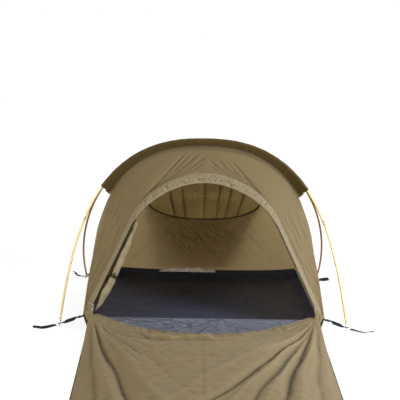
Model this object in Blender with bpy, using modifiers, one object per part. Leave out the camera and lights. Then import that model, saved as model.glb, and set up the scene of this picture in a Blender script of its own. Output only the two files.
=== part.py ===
"""A one-person bivvy tent: a hooped head end over a bathtub groundsheet, and a low leg section.

Units are metres. The origin is on the ground, midway between the four pole feet.
X runs across the tent, +Y towards its head end, and +Z up.
"""

import math

import bmesh
import bpy
from mathutils import Matrix, Vector

# Hoops: two bent poles that share one sleeve over the ridge and spread at their feet
FOOT_HALF_WIDTH = 0.555
FOOT_HALF_SPREAD = 0.336
HOOP_HEIGHT = 0.700
RIDGE_HALF_GAP = 0.008
HOOP_SIDE_POWER = 0.842
HOOP_CROWN_POWER = 0.864
SPREAD_POWER = 2.26

# Poles
POLE_RADIUS = 0.00425
POLE_WALL = 0.0006
POLE_SECTIONS = 5
STEPS_IN_SECTION = 8
POLE_START = 0.030
FIT_GAP = 0.00035
SECTION_GAP = 0.0011
FERRULE_WALL = 0.0009
FERRULE_STEPS = 1
CORD_RADIUS = 0.0014
TIP_INSERT = 0.018
TIP_COLLAR = 0.004
PIN_RADIUS = 0.0025

# Cloth
CLOTH = 0.0010
EDGE_GAP = 0.0008
SLEEVE_END_ANGLE = 0.744
SLEEVE_DEPTH = 0.0416
SLEEVE_MARGIN = 0.0022
SEAM_INSET = 0.0420
SEAM_HALF_GAP = 0.0035

# Head end
CORNER_HALF_WIDTH = 0.460
CORNER_Y = 0.350
CORNER_Z = 0.055
SIDE_EDGE_BOW = 0.020
SIDE_BULGE = 0.012
SIDE_BULGE_SKEW = 0.7
SIDE_TOP_TRIM = 0.02
REAR_SEAM_DIP = 0.015
REAR_SEAM_POWER = 4
DOOR_HEM_SAG = 0.004
PLEAT_DEPTH = 0.0035
PLEAT_PITCH = 30
PLEAT_REACH = 0.35

# Door arch, given as the foot and the top of its straight leg and its crown
DOOR_LEG_FOOT = (0.436, -0.338, 0.072)
DOOR_LEG_TOP = (0.288, -0.165, 0.385)
DOOR_CROWN = (0.0, -0.075, 0.538)
DOOR_SHOULDER = 0.100
DOOR_CROWN_REACH = 0.120

# Rear vent: a window with a net, and a hood over it
VENT_CENTRE_Z = 0.445
VENT_HALF_WIDTH = 0.255
VENT_DROP = 0.120
VENT_RISE = 0.130
VENT_POWER = 2.4
NET_HUB = 0.02
HOOD_TOP_Z = 0.612
HOOD_TOP_HALF_WIDTH = 0.275
HOOD_TOP_FALL = 0.145
HOOD_HEM_HALF_WIDTH = 0.145
HOOD_HEM_Y = 0.490
HOOD_HEM_Z = 0.080
HOOD_FOLD_COUNT = 5
HOOD_FOLD_DEPTH = 0.006
HOOD_BELLY = 0.020

# Leg section and groundsheet
LEG_START_Y = -0.350
LEG_START_HALF_WIDTH = 0.437
LEG_END_Y = -1.860
LEG_END_HALF_WIDTH = 0.330
FOOT_ROUNDING = 0.090
FOOT_POWER = 5
LEG_WALL_HEIGHT = 0.028
LEG_CROWN = 0.085
LEG_CROWN_POWER = 2.6
LEG_ROW_POWER = 1.15
LEG_END_FROM = 0.86
WALL_LEAN = 0.45
TRAY_NECK = 0.050
TRAY_CENTRE_Y = -0.750
TRAY_COLUMNS = 100
CORNER_TUCK = 0.0065
TUCK_RUN = 0.06
SAG_DEPTH = 0.130
SAG_POWER = 1.3
SAG_RUN = 0.30
SAG_EDGE_Z = 0.033
SAG_CORNER_RISE = 0.040
SAG_CORNER_DROP = 0.016
HEM_ROLL = (0.022, 0.016, 0.010)
HEM_VALLEY = (0.058, 0.014, -0.008)
SILL_TOP_Z = 0.047
SILL_RUN = 0.120
SILL_HALF_WIDTH = 0.405
SILL_RIPPLE = 0.003
SILL_RIPPLE_PITCH = 38
SILL_RIPPLE_SLANT = 5
SILL_SLOPE_POWER = 0.85

# Tension folds from the leg panel's two upper corners:
# side, degrees from straight down the tent, height, half width in degrees
LEG_FOLDS = (
    (-1, 14.0, -0.010, 3.5),
    (-1, 22.0, 0.007, 4.0),
    (-1, 5.0, -0.006, 3.0),
    (1, 12.0, 0.009, 4.0),
    (1, 19.0, -0.012, 3.5),
    (1, 27.0, 0.008, 4.0),
    (1, 35.0, -0.009, 4.0),
    (1, 44.0, 0.006, 4.5),
)
FOLD_START = 0.25
FOLD_LEAST_REACH = 0.01
FOLD_FADE_FROM = 0.55
FOLD_FADE_LENGTH = 0.70

# Door furniture
ZIP_WIDTH = 0.008
ZIP_THICKNESS = 0.0016
SLIDER_SIZE = (0.013, 0.009, 0.005)
SLIDER_START = 0.016
SLIDER_ROUNDING = 0.0012
PULL_LENGTH = 0.024
PULL_WIDTH = 0.008
PULL_THICKNESS = 0.0014
PULL_LEAN = 0.55
ROLL_RADIUS = 0.017
ROLL_GAP = 0.0019
ROLL_SET_BACK = 0.008
ROLL_FOOT = 0.030
ROLL_PROFILE = (0.08, 0.95)
ROLL_SKEW = 0.6
ROLL_GATHER = 0.2
TIE_AT = 0.34
TIE_WIDTH = 0.012
TIE_EASE = 1.06
TOGGLE_LENGTH = 0.022
TOGGLE_RADIUS = 0.0035
TOGGLE_WAIST = 0.7
TOGGLE_SHOULDER = 0.75

# Webbing at the corners and the foot end
WEBBING_WIDTH = 0.020
WEBBING = 0.0014
EYELET_Z = 0.0102
EYELET_BORE = 0.0036
EYELET_BARREL = 0.0046
EYELET_FLANGE = 0.0070
EYELET_PLATE = 0.0005
STRAP_PAST_EYELET = 0.013
BUCKLE_LENGTH = 0.021
BUCKLE_CLEARANCE = 0.0055
BUCKLE_WIDTH = 0.026
BUCKLE_THICKNESS = 0.0035
BUCKLE_BAR = 0.004
BUCKLE_SLOT = 0.0045
BUCKLE_RAIL = 0.003
BUCKLE_DROP = 0.006
STRAP_TWIST = 0.5
FOLD_GAP = 0.0012
FRONT_TAIL_SWING = 31
REAR_TAIL_SWING = 16
FRONT_TAIL = 0.090
REAR_TAIL = 0.055
FOOT_LOOP_ACROSS = 0.84
FOOT_LOOP_LENGTH = 0.042
FOOT_LOOP_BAND = 0.009
FOOT_LOOP_HALF_WIDTH = 0.018

# Surface colours: linear red, green, blue, then roughness and metallic value
FINISHES = {
    "canopy_cloth": ((0.225, 0.165, 0.088), 0.75, 0.0),
    "sleeve_cloth": ((0.100, 0.070, 0.030), 0.80, 0.0),
    "groundsheet_cloth": ((0.030, 0.031, 0.036), 0.45, 0.0),
    "sill_cloth": ((0.120, 0.125, 0.150), 0.35, 0.0),
    "net": ((0.060, 0.050, 0.030), 0.80, 0.0),
    "zip_tape": ((0.040, 0.028, 0.010), 0.70, 0.0),
    "webbing": ((0.012, 0.014, 0.022), 0.70, 0.0),
    "gold_tube": ((0.620, 0.400, 0.120), 0.30, 1.0),
    "bare_metal": ((0.620, 0.600, 0.560), 0.30, 1.0),
    "elastic": ((0.050, 0.050, 0.050), 0.80, 0.0),
    "black_plastic": ((0.015, 0.015, 0.016), 0.50, 0.0),
    "pull_tape": ((0.600, 0.480, 0.280), 0.65, 0.0),
}

PARTS = None


def start_scene():
    """Empties the scene and makes the collection that takes the tent."""
    for obj in list(bpy.data.objects):
        bpy.data.objects.remove(obj, do_unlink=True)
    parts = bpy.data.collections.new("bivvy_tent")
    bpy.context.scene.collection.children.link(parts)
    return parts


def finish_material(name, finish):
    """A Principled material for one sub-part, in one of the named finishes."""
    colour, roughness, metallic = FINISHES[finish]
    material = bpy.data.materials.new(f"{name}_{finish}")
    material.use_nodes = True
    shader = material.node_tree.nodes["Principled BSDF"]
    shader.inputs["Base Color"].default_value = (*colour, 1.0)
    shader.inputs["Roughness"].default_value = roughness
    shader.inputs["Metallic"].default_value = metallic
    return material


def add_part(name, data, finish, matrix=None):
    """Links a new object for one sub-part, in place and with its own material."""
    obj = bpy.data.objects.new(name, data)
    data.materials.append(finish_material(name, finish))
    if matrix is not None:
        obj.matrix_world = matrix
    PARTS.objects.link(obj)
    return obj


def thicken(obj, thickness, offset=0.0):
    """Gives an open surface its thickness."""
    solidify = obj.modifiers.new("cloth", "SOLIDIFY")
    solidify.thickness = thickness
    solidify.offset = offset
    solidify.use_even_offset = False


def add_sheet(name, finish, surface, columns, rows, closed=False, thickness=CLOTH):
    """A sheet of cloth: a grid laid over surface(u, v), with u and v from 0 to 1."""
    bm = bmesh.new()
    bmesh.ops.create_grid(bm, x_segments=columns, y_segments=rows, size=0.5)
    for vertex in bm.verts:
        vertex.co = surface(vertex.co.x + 0.5, vertex.co.y + 0.5)
    if closed:
        bmesh.ops.remove_doubles(bm, verts=bm.verts, dist=0.00001)
    mesh = bpy.data.meshes.new(name)
    bm.to_mesh(mesh)
    bm.free()
    mesh.shade_smooth()
    obj = add_part(name, mesh, finish)
    thicken(obj, thickness)
    return obj


def add_turned(name, finish, profile, matrix, ring=False, steps=12):
    """A turned piece from (radius, height) points, which run from top to bottom outside."""
    count = len(profile)
    edges = [(i, i + 1) for i in range(count - 1)]
    if ring:
        edges.append((count - 1, 0))
    mesh = bpy.data.meshes.new(name)
    mesh.from_pydata([(radius, 0.0, height) for radius, height in profile], edges, [])
    obj = add_part(name, mesh, finish, matrix)
    screw = obj.modifiers.new("turn", "SCREW")
    screw.angle = math.tau
    screw.steps = steps
    screw.render_steps = steps
    screw.use_merge_vertices = True
    screw.merge_threshold = 0.00001
    return obj


def add_wire(name, finish, points, radius, radii=None, caps=True, resolution=2):
    """A round bar or tube wall along a run of points."""
    curve = bpy.data.curves.new(name, "CURVE")
    curve.dimensions = "3D"
    curve.twist_mode = "Z_UP"
    curve.bevel_depth = radius
    curve.bevel_resolution = resolution
    curve.use_fill_caps = caps
    spline = curve.splines.new("POLY")
    spline.points.add(len(points) - 1)
    for index, point in enumerate(points):
        spline.points[index].co = (*point, 1.0)
        spline.points[index].radius = radii[index] if radii else 1.0
    return add_part(name, curve, finish)


def add_plate(name, finish, outlines, thickness, matrix):
    """A flat plate from closed 2D outlines, the ones inside the first being its holes."""
    curve = bpy.data.curves.new(name, "CURVE")
    curve.dimensions = "2D"
    curve.fill_mode = "BOTH"
    curve.extrude = thickness / 2
    for outline in outlines:
        spline = curve.splines.new("POLY")
        spline.points.add(len(outline) - 1)
        for index, (x, y) in enumerate(outline):
            spline.points[index].co = (x, y, 0.0, 1.0)
        spline.use_cyclic_u = True
    return add_part(name, curve, finish, matrix)


def rectangle(x_low, x_high, half_width):
    return [(x_low, -half_width), (x_high, -half_width), (x_high, half_width), (x_low, half_width)]


def round_ended(x_low, x_high, half_width, steps=6):
    """A strip outline with a square end at x_low and a round one at x_high."""
    points = [(x_low, half_width), (x_low, -half_width)]
    for step in range(steps + 1):
        angle = math.pi * (step / steps - 0.5)
        points.append((x_high + half_width * (math.cos(angle) - 1), half_width * math.sin(angle)))
    return points


def circle(x, radius, steps=12):
    turns = [math.tau * step / steps for step in range(steps)]
    return [(x + radius * math.cos(turn), radius * math.sin(turn)) for turn in turns]


def frame_at(origin, x_axis, z_axis):
    """The matrix of a local frame with this X axis, and its Z axis as near z_axis as it can be."""
    x = Vector(x_axis).normalized()
    y = Vector(z_axis).cross(x).normalized()
    z = x.cross(y)
    matrix = Matrix((x, y, z)).transposed().to_4x4()
    matrix.translation = origin
    return matrix


def blend(low, high, share):
    return low + (high - low) * share


def smooth_step(share):
    share = min(max(share, 0.0), 1.0)
    return share * share * (3 - 2 * share)


def bezier(p0, p1, p2, p3, t):
    s = 1 - t
    return p0 * s**3 + p1 * 3 * s * s * t + p2 * 3 * s * t * t + p3 * t**3


# Hoops and poles


def hoop(angle, inset=0.0):
    """(x, z) of the arch in front view; the angle runs from 0, right foot, to pi, left foot."""
    cosine = math.cos(angle)
    across = math.copysign(abs(cosine) ** HOOP_SIDE_POWER, cosine)
    up = max(math.sin(angle), 0.0) ** HOOP_CROWN_POWER
    return (FOOT_HALF_WIDTH - inset) * across, (HOOP_HEIGHT - inset) * up


def pole_spread(z):
    """How far a pole's centre line is from the ridge plane, at a height."""
    fall = max(1 - z / HOOP_HEIGHT, 0.0)
    return RIDGE_HALF_GAP + (FOOT_HALF_SPREAD - RIDGE_HALF_GAP) * fall**SPREAD_POWER


def pole_path(row):
    """Evenly spaced points along one pole, from right to left; row is -1 in front and 1 behind."""
    fine_steps = 2000
    fine = []
    for step in range(fine_steps + 1):
        x, z = hoop(math.pi * step / fine_steps)
        fine.append(Vector((x, row * pole_spread(z), z)))
    run = [0.0]
    for here, there in zip(fine, fine[1:]):
        run.append(run[-1] + (there - here).length)
    count = POLE_SECTIONS * STEPS_IN_SECTION
    points = []
    index = 0
    for step in range(count + 1):
        wanted = blend(POLE_START, run[-1] - POLE_START, step / count)
        while run[index + 1] < wanted:
            index += 1
        share = (wanted - run[index]) / (run[index + 1] - run[index])
        points.append(fine[index].lerp(fine[index + 1], share))
    return points


def shortened(points, gap):
    """The same run with its first and last points drawn in by a gap."""
    first = points[0] + (points[1] - points[0]).normalized() * gap
    last = points[-1] + (points[-2] - points[-1]).normalized() * gap
    return [first, *points[1:-1], last]


def pole_end(points, side):
    """The end point of a pole on one side, and the direction in which it leaves for the ground."""
    end, inner = (points[0], points[1]) if side > 0 else (points[-1], points[-2])
    return end, (end - inner).normalized()


def point_at_height(end, down, height):
    return end + down * ((end.z - height) / -down.z)


def tip_profile(length):
    """A pole tip with its origin at the pole's end: insert, collar and a pin with a round end."""
    insert_radius = POLE_RADIUS - POLE_WALL - FIT_GAP
    profile = [(0.0, TIP_INSERT), (insert_radius, TIP_INSERT), (insert_radius, 0.0)]
    profile += [(POLE_RADIUS, 0.0), (POLE_RADIUS, -TIP_COLLAR)]
    profile.append((PIN_RADIUS, -TIP_COLLAR - POLE_RADIUS + PIN_RADIUS))
    for step in range(4):
        angle = math.pi / 2 * step / 3
        profile.append((PIN_RADIUS * math.cos(angle), -length - PIN_RADIUS * math.sin(angle)))
    return profile


def make_poles():
    """Two shock-corded poles, each with its sections, ferrules, cord and two tips."""
    for row, name in ((-1, "front"), (1, "rear")):
        points = pole_path(row)
        for section in range(POLE_SECTIONS):
            first = section * STEPS_IN_SECTION
            run = points[first : first + STEPS_IN_SECTION + 1]
            run = shortened(run, SECTION_GAP / 2)
            tube = add_wire(
                f"{name}_pole_section_{section + 1}", "gold_tube", run, POLE_RADIUS, caps=False
            )
            thicken(tube, POLE_WALL, offset=-1.0)
        for joint in range(1, POLE_SECTIONS):
            middle = joint * STEPS_IN_SECTION
            run = points[middle - FERRULE_STEPS : middle + FERRULE_STEPS + 1]
            radius = POLE_RADIUS - POLE_WALL - FIT_GAP
            ferrule = add_wire(
                f"{name}_pole_ferrule_{joint}", "bare_metal", run, radius, caps=False
            )
            thicken(ferrule, FERRULE_WALL, offset=-1.0)
        cord_run = shortened(points, TIP_INSERT + FIT_GAP)
        add_wire(f"{name}_shock_cord", "elastic", cord_run, CORD_RADIUS, resolution=1)
        for side, side_name in ((1, "right"), (-1, "left")):
            end, down = pole_end(points, side)
            ground = point_at_height(end, down, PIN_RADIUS + FIT_GAP)
            matrix = frame_at(end + down * FIT_GAP, Vector((1, 0, 0)).cross(down), -down)
            length = (ground - end).length
            add_turned(f"{name}_pole_tip_{side_name}", "bare_metal", tip_profile(length), matrix)


# Canopy


def seam_height(x):
    """Height of the ridge seam, where the canopy's panels meet under the sleeve."""
    half_width = FOOT_HALF_WIDTH - SEAM_INSET
    share = min(abs(x) / half_width, 1.0)
    rise = 1 - share ** (2 / HOOP_SIDE_POWER)
    return (HOOP_HEIGHT - SEAM_INSET) * rise ** (HOOP_CROWN_POWER / 2)


def wall_depth(x, z):
    """How far a sloping end wall stands out from the ridge, at a place in front view."""
    share = 1 - (z - CORNER_Z) / max(seam_height(x) - CORNER_Z, 0.001)
    share = min(max(share, 0.0), 1.0)
    return blend(SEAM_HALF_GAP, CORNER_Y, share)


def side_edge(share):
    """(x, z) of the edge between an end wall and a side panel, from the sleeve down."""
    top_x, top_z = hoop(SLEEVE_END_ANGLE, SEAM_INSET)
    x = blend(top_x, CORNER_HALF_WIDTH, share) + SIDE_EDGE_BOW * math.sin(math.pi * share)
    return x, blend(top_z, CORNER_Z, share)


def canopy_edge(s):
    """(x, z) of an end wall's outer edge: s is 0 at the ridge and 1 at the right corner."""
    share = abs(s)
    if share <= 0.5:
        x, z = hoop(blend(math.pi / 2, SLEEVE_END_ANGLE, share * 2), SEAM_INSET)
    else:
        x, z = side_edge(share * 2 - 1)
    return math.copysign(x, s), z


def door_edge(s):
    """A point of the door arch: s is 0 at its crown and 1 at the foot of its right leg."""
    foot = Vector(DOOR_LEG_FOOT)
    top = Vector(DOOR_LEG_TOP)
    crown = Vector(DOOR_CROWN)
    share = abs(s)
    if share <= 0.5:
        shoulder = top + (top - foot).normalized() * DOOR_SHOULDER
        reach = crown + Vector((DOOR_CROWN_REACH, 0, 0))
        point = bezier(crown, reach, shoulder, top, share * 2)
    else:
        point = top.lerp(foot, share * 2 - 1)
    point.x = math.copysign(point.x, s)
    return point


def front_surface(u, v):
    """The front wall: v runs from its outer edge in to the door arch."""
    s = u * 2 - 1
    x, z = canopy_edge(s)
    outer = Vector((x, -wall_depth(x, z), z))
    inner = door_edge(s)
    point = outer.lerp(inner, blend(EDGE_GAP / (inner - outer).length, 1.0, v))
    pleats = PLEAT_DEPTH * math.cos(s * PLEAT_PITCH) * math.exp(-((s / PLEAT_REACH) ** 2))
    point.y += (DOOR_HEM_SAG + pleats) * math.sin(math.pi * v)
    return point


def side_surface(side):
    """A side panel: v runs from the sleeve's end down, u from front to rear."""

    def surface(u, v):
        x, z = side_edge(blend(SIDE_TOP_TRIM, 1.0, v))
        reach = wall_depth(x, z) - EDGE_GAP
        across = u * 2 - 1
        bulge = SIDE_BULGE * (1 - across**2) * math.sin(math.pi * v**SIDE_BULGE_SKEW)
        return Vector((side * (x + bulge + EDGE_GAP), across * reach, z))

    return surface


def vent_edge(turn, gap=0.0):
    """(x, z) of the window's edge; turn runs from 0, at its top, to 1, clockwise."""
    angle = math.tau * turn
    sine = math.sin(angle)
    cosine = math.cos(angle)
    rise = VENT_RISE if cosine > 0 else VENT_DROP
    power = 2 / VENT_POWER
    x = (VENT_HALF_WIDTH - gap) * math.copysign(abs(sine) ** power, sine)
    z = (rise - gap) * math.copysign(abs(cosine) ** power, cosine)
    return x, VENT_CENTRE_Z + z


def rear_seam_z(x):
    """Height of the seam between the rear wall and the groundsheet, which dips between its corners."""
    return CORNER_Z - REAR_SEAM_DIP * (1 - min(abs(x) / CORNER_HALF_WIDTH, 1.0) ** REAR_SEAM_POWER)


def rear_outline(turn):
    """(x, z) of the rear wall's outer edge, turning with vent_edge."""
    half = turn * 2 if turn <= 0.5 else (1 - turn) * 2
    sign = 1 if turn <= 0.5 else -1
    along_canopy = 0.72
    if half <= along_canopy:
        x, z = canopy_edge(half / along_canopy)
    else:
        share = (half - along_canopy) / (1 - along_canopy)
        x = blend(CORNER_HALF_WIDTH, 0.0, share)
        z = rear_seam_z(x)
    return sign * x, z


def rear_surface(u, v):
    """The rear wall round its window: v runs from the outer edge in to the window."""
    outer_x, outer_z = rear_outline(u)
    inner_x, inner_z = vent_edge(u)
    x = blend(outer_x, inner_x, v)
    z = blend(outer_z, inner_z, v)
    return Vector((x, wall_depth(x, z), z))


def net_surface(u, v):
    """The net in the window: v runs from its middle out."""
    edge_x, edge_z = vent_edge(u, EDGE_GAP)
    share = blend(NET_HUB, 1.0, v)
    x = edge_x * share
    z = blend(VENT_CENTRE_Z, edge_z, share)
    return Vector((x, wall_depth(x, z), z))


def hood_surface(u, v):
    """The hood over the vent: v runs from its seam on the wall down to its hem."""
    across = u * 2 - 1
    top_x = HOOD_TOP_HALF_WIDTH * across
    top_z = HOOD_TOP_Z - HOOD_TOP_FALL * across**2
    top = Vector((top_x, wall_depth(top_x, top_z) + CLOTH + EDGE_GAP, top_z))
    hem = Vector((HOOD_HEM_HALF_WIDTH * across, HOOD_HEM_Y, HOOD_HEM_Z))
    point = top.lerp(hem, v)
    folds = math.cos(across * math.pi * HOOD_FOLD_COUNT) - 1
    point.y += (HOOD_FOLD_DEPTH * folds + HOOD_BELLY) * math.sin(math.pi * v)
    return point


def sleeve_surface(u, v):
    """The pole sleeve: u along the ridge, v over the poles from the front seam to the rear one."""
    angle = blend(SLEEVE_END_ANGLE, math.pi - SLEEVE_END_ANGLE, u)
    _, pole_z = hoop(angle)
    spread = pole_spread(pole_z)
    cover = POLE_RADIUS + SLEEVE_MARGIN + CLOTH / 2
    slant = cover * math.sqrt(0.5)
    profile = [(SEAM_HALF_GAP + CLOTH + EDGE_GAP / 2, SLEEVE_DEPTH), (spread + cover, 0.0)]
    profile += [(spread + slant, -slant), (spread, -cover)]
    half = [(-y, inset) for y, inset in profile] + profile[::-1]
    y, inset = half[round(v * (len(half) - 1))]
    x, z = hoop(angle, inset)
    return Vector((x, y, z))


def make_canopy():
    """The sewn panels of the head end, its sleeve, and the rear vent."""
    add_sheet("front_panel", "canopy_cloth", front_surface, 40, 5)
    add_sheet("left_side_panel", "canopy_cloth", side_surface(-1), 8, 10)
    add_sheet("right_side_panel", "canopy_cloth", side_surface(1), 8, 10)
    add_sheet("rear_wall", "canopy_cloth", rear_surface, 40, 5, closed=True)
    add_sheet("pole_sleeve", "sleeve_cloth", sleeve_surface, 28, 7)
    net = add_sheet("vent_net", "net", net_surface, 32, 3, closed=True)
    fill_hole(net)
    add_hood()


def fill_hole(obj):
    """Closes the small ring left in the middle of a round sheet."""
    bm = bmesh.new()
    bm.from_mesh(obj.data)
    edges = [edge for edge in bm.edges if edge.is_boundary]
    middle = Vector((0.0, 0.0, VENT_CENTRE_Z))
    near = [edge for edge in edges if (edge.verts[0].co - middle).xz.length < VENT_DROP / 4]
    bmesh.ops.edgeloop_fill(bm, edges=near)
    bmesh.ops.recalc_face_normals(bm, faces=bm.faces)
    bm.to_mesh(obj.data)
    bm.free()


def set_origin(obj, origin):
    """Moves an object's origin and leaves its shape where it is."""
    obj.data.transform(Matrix.Translation(-Vector(origin)))
    obj.matrix_world = Matrix.Translation(origin)


def add_hood():
    """The vent hood, whose origin is on the seam that it lifts about."""
    hood = add_sheet("vent_hood", "canopy_cloth", hood_surface, 20, 8)
    top = hood_surface(0.5, 0.0)
    set_origin(hood, top)


# Leg section and groundsheet


def leg_half_width(y):
    share = (y - LEG_START_Y) / (LEG_END_Y - LEG_START_Y)
    return blend(LEG_START_HALF_WIDTH, LEG_END_HALF_WIDTH, min(max(share, 0.0), 1.0))


def leg_end_y(across):
    """The foot end's rounded edge; across is 0 in the middle and 1 at a side."""
    return LEG_END_Y + FOOT_ROUNDING * abs(across) ** FOOT_POWER


def fan_folds(x, y):
    """Height of the tension folds that fan out from the panel's two raised corners."""
    height = 0.0
    for side, degrees, fold_height, half_width in LEG_FOLDS:
        run = LEG_START_Y - y
        inward = LEG_START_HALF_WIDTH - side * x
        reach = math.hypot(run, inward)
        if reach < FOLD_LEAST_REACH:
            continue
        turn = math.degrees(math.atan2(inward, max(run, 0.0001))) - degrees
        fade = smooth_step(reach / FOLD_START)
        fade *= 1 - smooth_step((reach - FOLD_FADE_FROM) / FOLD_FADE_LENGTH)
        height += fold_height * math.exp(-((turn / half_width) ** 2)) * fade
    return height


def ridge(distance, shape):
    """One smooth ridge across a cloth: shape is its middle, its half width and its height."""
    middle, half_width, height = shape
    return height * math.exp(-(((distance - middle) / half_width) ** 2))


def leg_surface(u, v):
    """The leg panel: v runs from its sagging upper edge to the foot end."""
    across = u * 2 - 1
    edge = abs(across)
    sag = (1 - min(edge, 1.0) ** 2) ** SAG_POWER
    start_y = LEG_START_Y - 2 * EDGE_GAP - SAG_DEPTH * sag
    start_z = SAG_EDGE_Z + SAG_CORNER_RISE * edge**4 - SAG_CORNER_DROP * edge**12
    run = v**LEG_ROW_POWER
    y = blend(start_y, leg_end_y(across), run)
    start_x = (LEG_START_HALF_WIDTH - CORNER_TUCK) * across
    x = blend(start_x, leg_half_width(y) * across, smooth_step(v / TUCK_RUN))
    end_share = max((run - LEG_END_FROM) / (1 - LEG_END_FROM), 0.0)
    end_fade = math.sqrt(max(1 - end_share**2, 0.0))
    body_z = LEG_WALL_HEIGHT + 1.5 * EDGE_GAP + LEG_CROWN * (1 - edge**LEG_CROWN_POWER) * end_fade
    z = blend(start_z, body_z, smooth_step(v / SAG_RUN))
    from_hem = start_y - y
    relief = fan_folds(x, y) + ridge(from_hem, HEM_ROLL) + ridge(from_hem, HEM_VALLEY)
    return Vector((x, y, z + relief * (1 - edge**8) * end_fade))


def tray_outline(turn):
    """(x, y) of the groundsheet's rim; turn runs from 0, behind, round by the right side to 1."""
    neck_y = -CORNER_Y - TRAY_NECK
    marks = (
        (0.00, (0.0, CORNER_Y)),
        (0.10, (CORNER_HALF_WIDTH, CORNER_Y)),
        (0.24, (CORNER_HALF_WIDTH, -CORNER_Y)),
        (0.26, (leg_half_width(neck_y), neck_y)),
        (0.36, (leg_half_width(LEG_END_Y + FOOT_ROUNDING), LEG_END_Y + FOOT_ROUNDING)),
    )
    half = turn if turn <= 0.5 else 1 - turn
    side = 1 if turn <= 0.5 else -1
    for (low, start), (high, end) in zip(marks, marks[1:]):
        if half <= high:
            share = (half - low) / (high - low)
            return side * blend(start[0], end[0], share), blend(start[1], end[1], share)
    foot_start = marks[-1][0]
    across = math.cos(math.pi / 2 * (half - foot_start) / (0.5 - foot_start))
    y = leg_end_y(across)
    return side * leg_half_width(y) * across, y


def rim_height(x, y):
    """Height of the groundsheet's wall, which is highest at the head end."""
    if y > CORNER_Y - EDGE_GAP:
        return rear_seam_z(x) - EDGE_GAP
    share = smooth_step((y + CORNER_Y + TRAY_NECK) / TRAY_NECK)
    return blend(LEG_WALL_HEIGHT, CORNER_Z - EDGE_GAP, share)


def tray_floor(x, y):
    """Where the groundsheet's leaning wall meets its floor, below a point of its rim."""
    lean = rim_height(x, y) * WALL_LEAN
    outward = Vector((x, y - TRAY_CENTRE_Y)).normalized()
    return Vector((x - outward.x * lean, y - outward.y * lean, 0.0))


def make_groundsheet():
    """A bathtub floor: flat underneath, with walls that lean out to the canopy's lower edge."""
    bm = bmesh.new()
    bmesh.ops.create_grid(bm, x_segments=TRAY_COLUMNS, y_segments=1, size=0.5)
    for vertex in bm.verts:
        x, y = tray_outline(vertex.co.x + 0.5)
        is_floor = vertex.co.y < 0
        vertex.co = tray_floor(x, y) if is_floor else (x, y, rim_height(x, y))
    bmesh.ops.remove_doubles(bm, verts=bm.verts, dist=0.00001)
    floor_edges = [e for e in bm.edges if e.is_boundary and e.verts[0].co.z < 0.001]
    bmesh.ops.edgeloop_fill(bm, edges=floor_edges)
    bmesh.ops.recalc_face_normals(bm, faces=bm.faces)
    floor = max(bm.faces, key=lambda face: face.calc_area())
    if floor.normal.z > 0:
        bmesh.ops.reverse_faces(bm, faces=bm.faces)
    mesh = bpy.data.meshes.new("groundsheet")
    bm.to_mesh(mesh)
    bm.free()
    thicken(add_part("groundsheet", mesh, "groundsheet_cloth"), CLOTH, offset=-1.0)


def sill_surface(u, v):
    """The low wall across the entrance: v runs from its taut top edge forward to the floor."""
    x = SILL_HALF_WIDTH * (u * 2 - 1)
    foot_z = CLOTH * 1.5 + FIT_GAP
    z = blend(SILL_TOP_Z, foot_z, v**SILL_SLOPE_POWER)
    wave = math.sin(x * SILL_RIPPLE_PITCH + v * SILL_RIPPLE_SLANT)
    ripples = SILL_RIPPLE * wave * math.sin(math.pi * v) ** 2
    return Vector((x, LEG_START_Y - SILL_RUN * v, z + max(ripples, -z / 3)))


def make_leg_section():
    make_groundsheet()
    add_sheet("leg_panel", "canopy_cloth", leg_surface, 24, 22)
    add_sheet("entrance_sill", "sill_cloth", sill_surface, 20, 4)


# Door furniture


def door_normal():
    """The way out of the plane that both legs of the door lie in."""
    up = Vector(DOOR_LEG_TOP) - Vector(DOOR_LEG_FOOT)
    return Vector((0, -up.z, up.y)).normalized()


def door_leg(side):
    """The foot of a door leg, the direction up it, the way in to the door, and the way out of it."""
    foot = Vector(DOOR_LEG_FOOT)
    top = Vector(DOOR_LEG_TOP)
    foot.x *= side
    top.x *= side
    up = (top - foot).normalized()
    outward = door_normal()
    inward = up.cross(outward).normalized() * -side
    return foot, up, inward, outward


def zip_surface(u, v):
    """The zip tape round the inside of the door arch."""
    s = u * 2 - 1
    step = 0.002
    here = door_edge(s)
    ahead = door_edge(min(s + step, 1.0))
    behind = door_edge(max(s - step, -1.0))
    along = (ahead - behind).normalized()
    inward = along.cross(door_normal()).normalized()
    return here + inward * blend(EDGE_GAP, EDGE_GAP + ZIP_WIDTH, v)


def add_sliders():
    """A zip slider and its hanging pull on each leg of the door."""
    for side, name in ((-1, "left"), (1, "right")):
        foot, up, inward, outward = door_leg(side)
        seat = ZIP_THICKNESS / 2 + FIT_GAP + SLIDER_SIZE[2] / 2
        middle = foot + up * SLIDER_START + inward * (EDGE_GAP + ZIP_WIDTH / 2) + outward * seat
        bpy.ops.mesh.primitive_cube_add(size=1.0)
        cube = bpy.context.object
        mesh = cube.data
        bpy.data.objects.remove(cube)
        mesh.transform(Matrix.Diagonal((*SLIDER_SIZE, 1.0)))
        slider = add_part(
            f"{name}_zip_slider", mesh, "bare_metal", frame_at(middle, up, outward)
        )
        bevel = slider.modifiers.new("rounding", "BEVEL")
        bevel.width = SLIDER_ROUNDING
        bevel.segments = 1
        hinge = middle + outward * (SLIDER_SIZE[2] / 2 + PULL_THICKNESS / 2 + FIT_GAP)
        hang = Vector((0, -PULL_LEAN, -1)).normalized()
        outline = round_ended(0.0, PULL_LENGTH, PULL_WIDTH / 2)
        matrix = frame_at(hinge, hang, Vector((0, -1, 0)))
        add_plate(f"{name}_zip_pull", "pull_tape", [outline], PULL_THICKNESS, matrix)


def roll_radius(share):
    """The rolled door's radius: gathered at its foot, fullest near the tie, a point at its top."""
    along = blend(*ROLL_PROFILE, share) ** ROLL_SKEW
    return ROLL_RADIUS * blend(ROLL_GATHER, 1.0, math.sin(math.pi * along))


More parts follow.
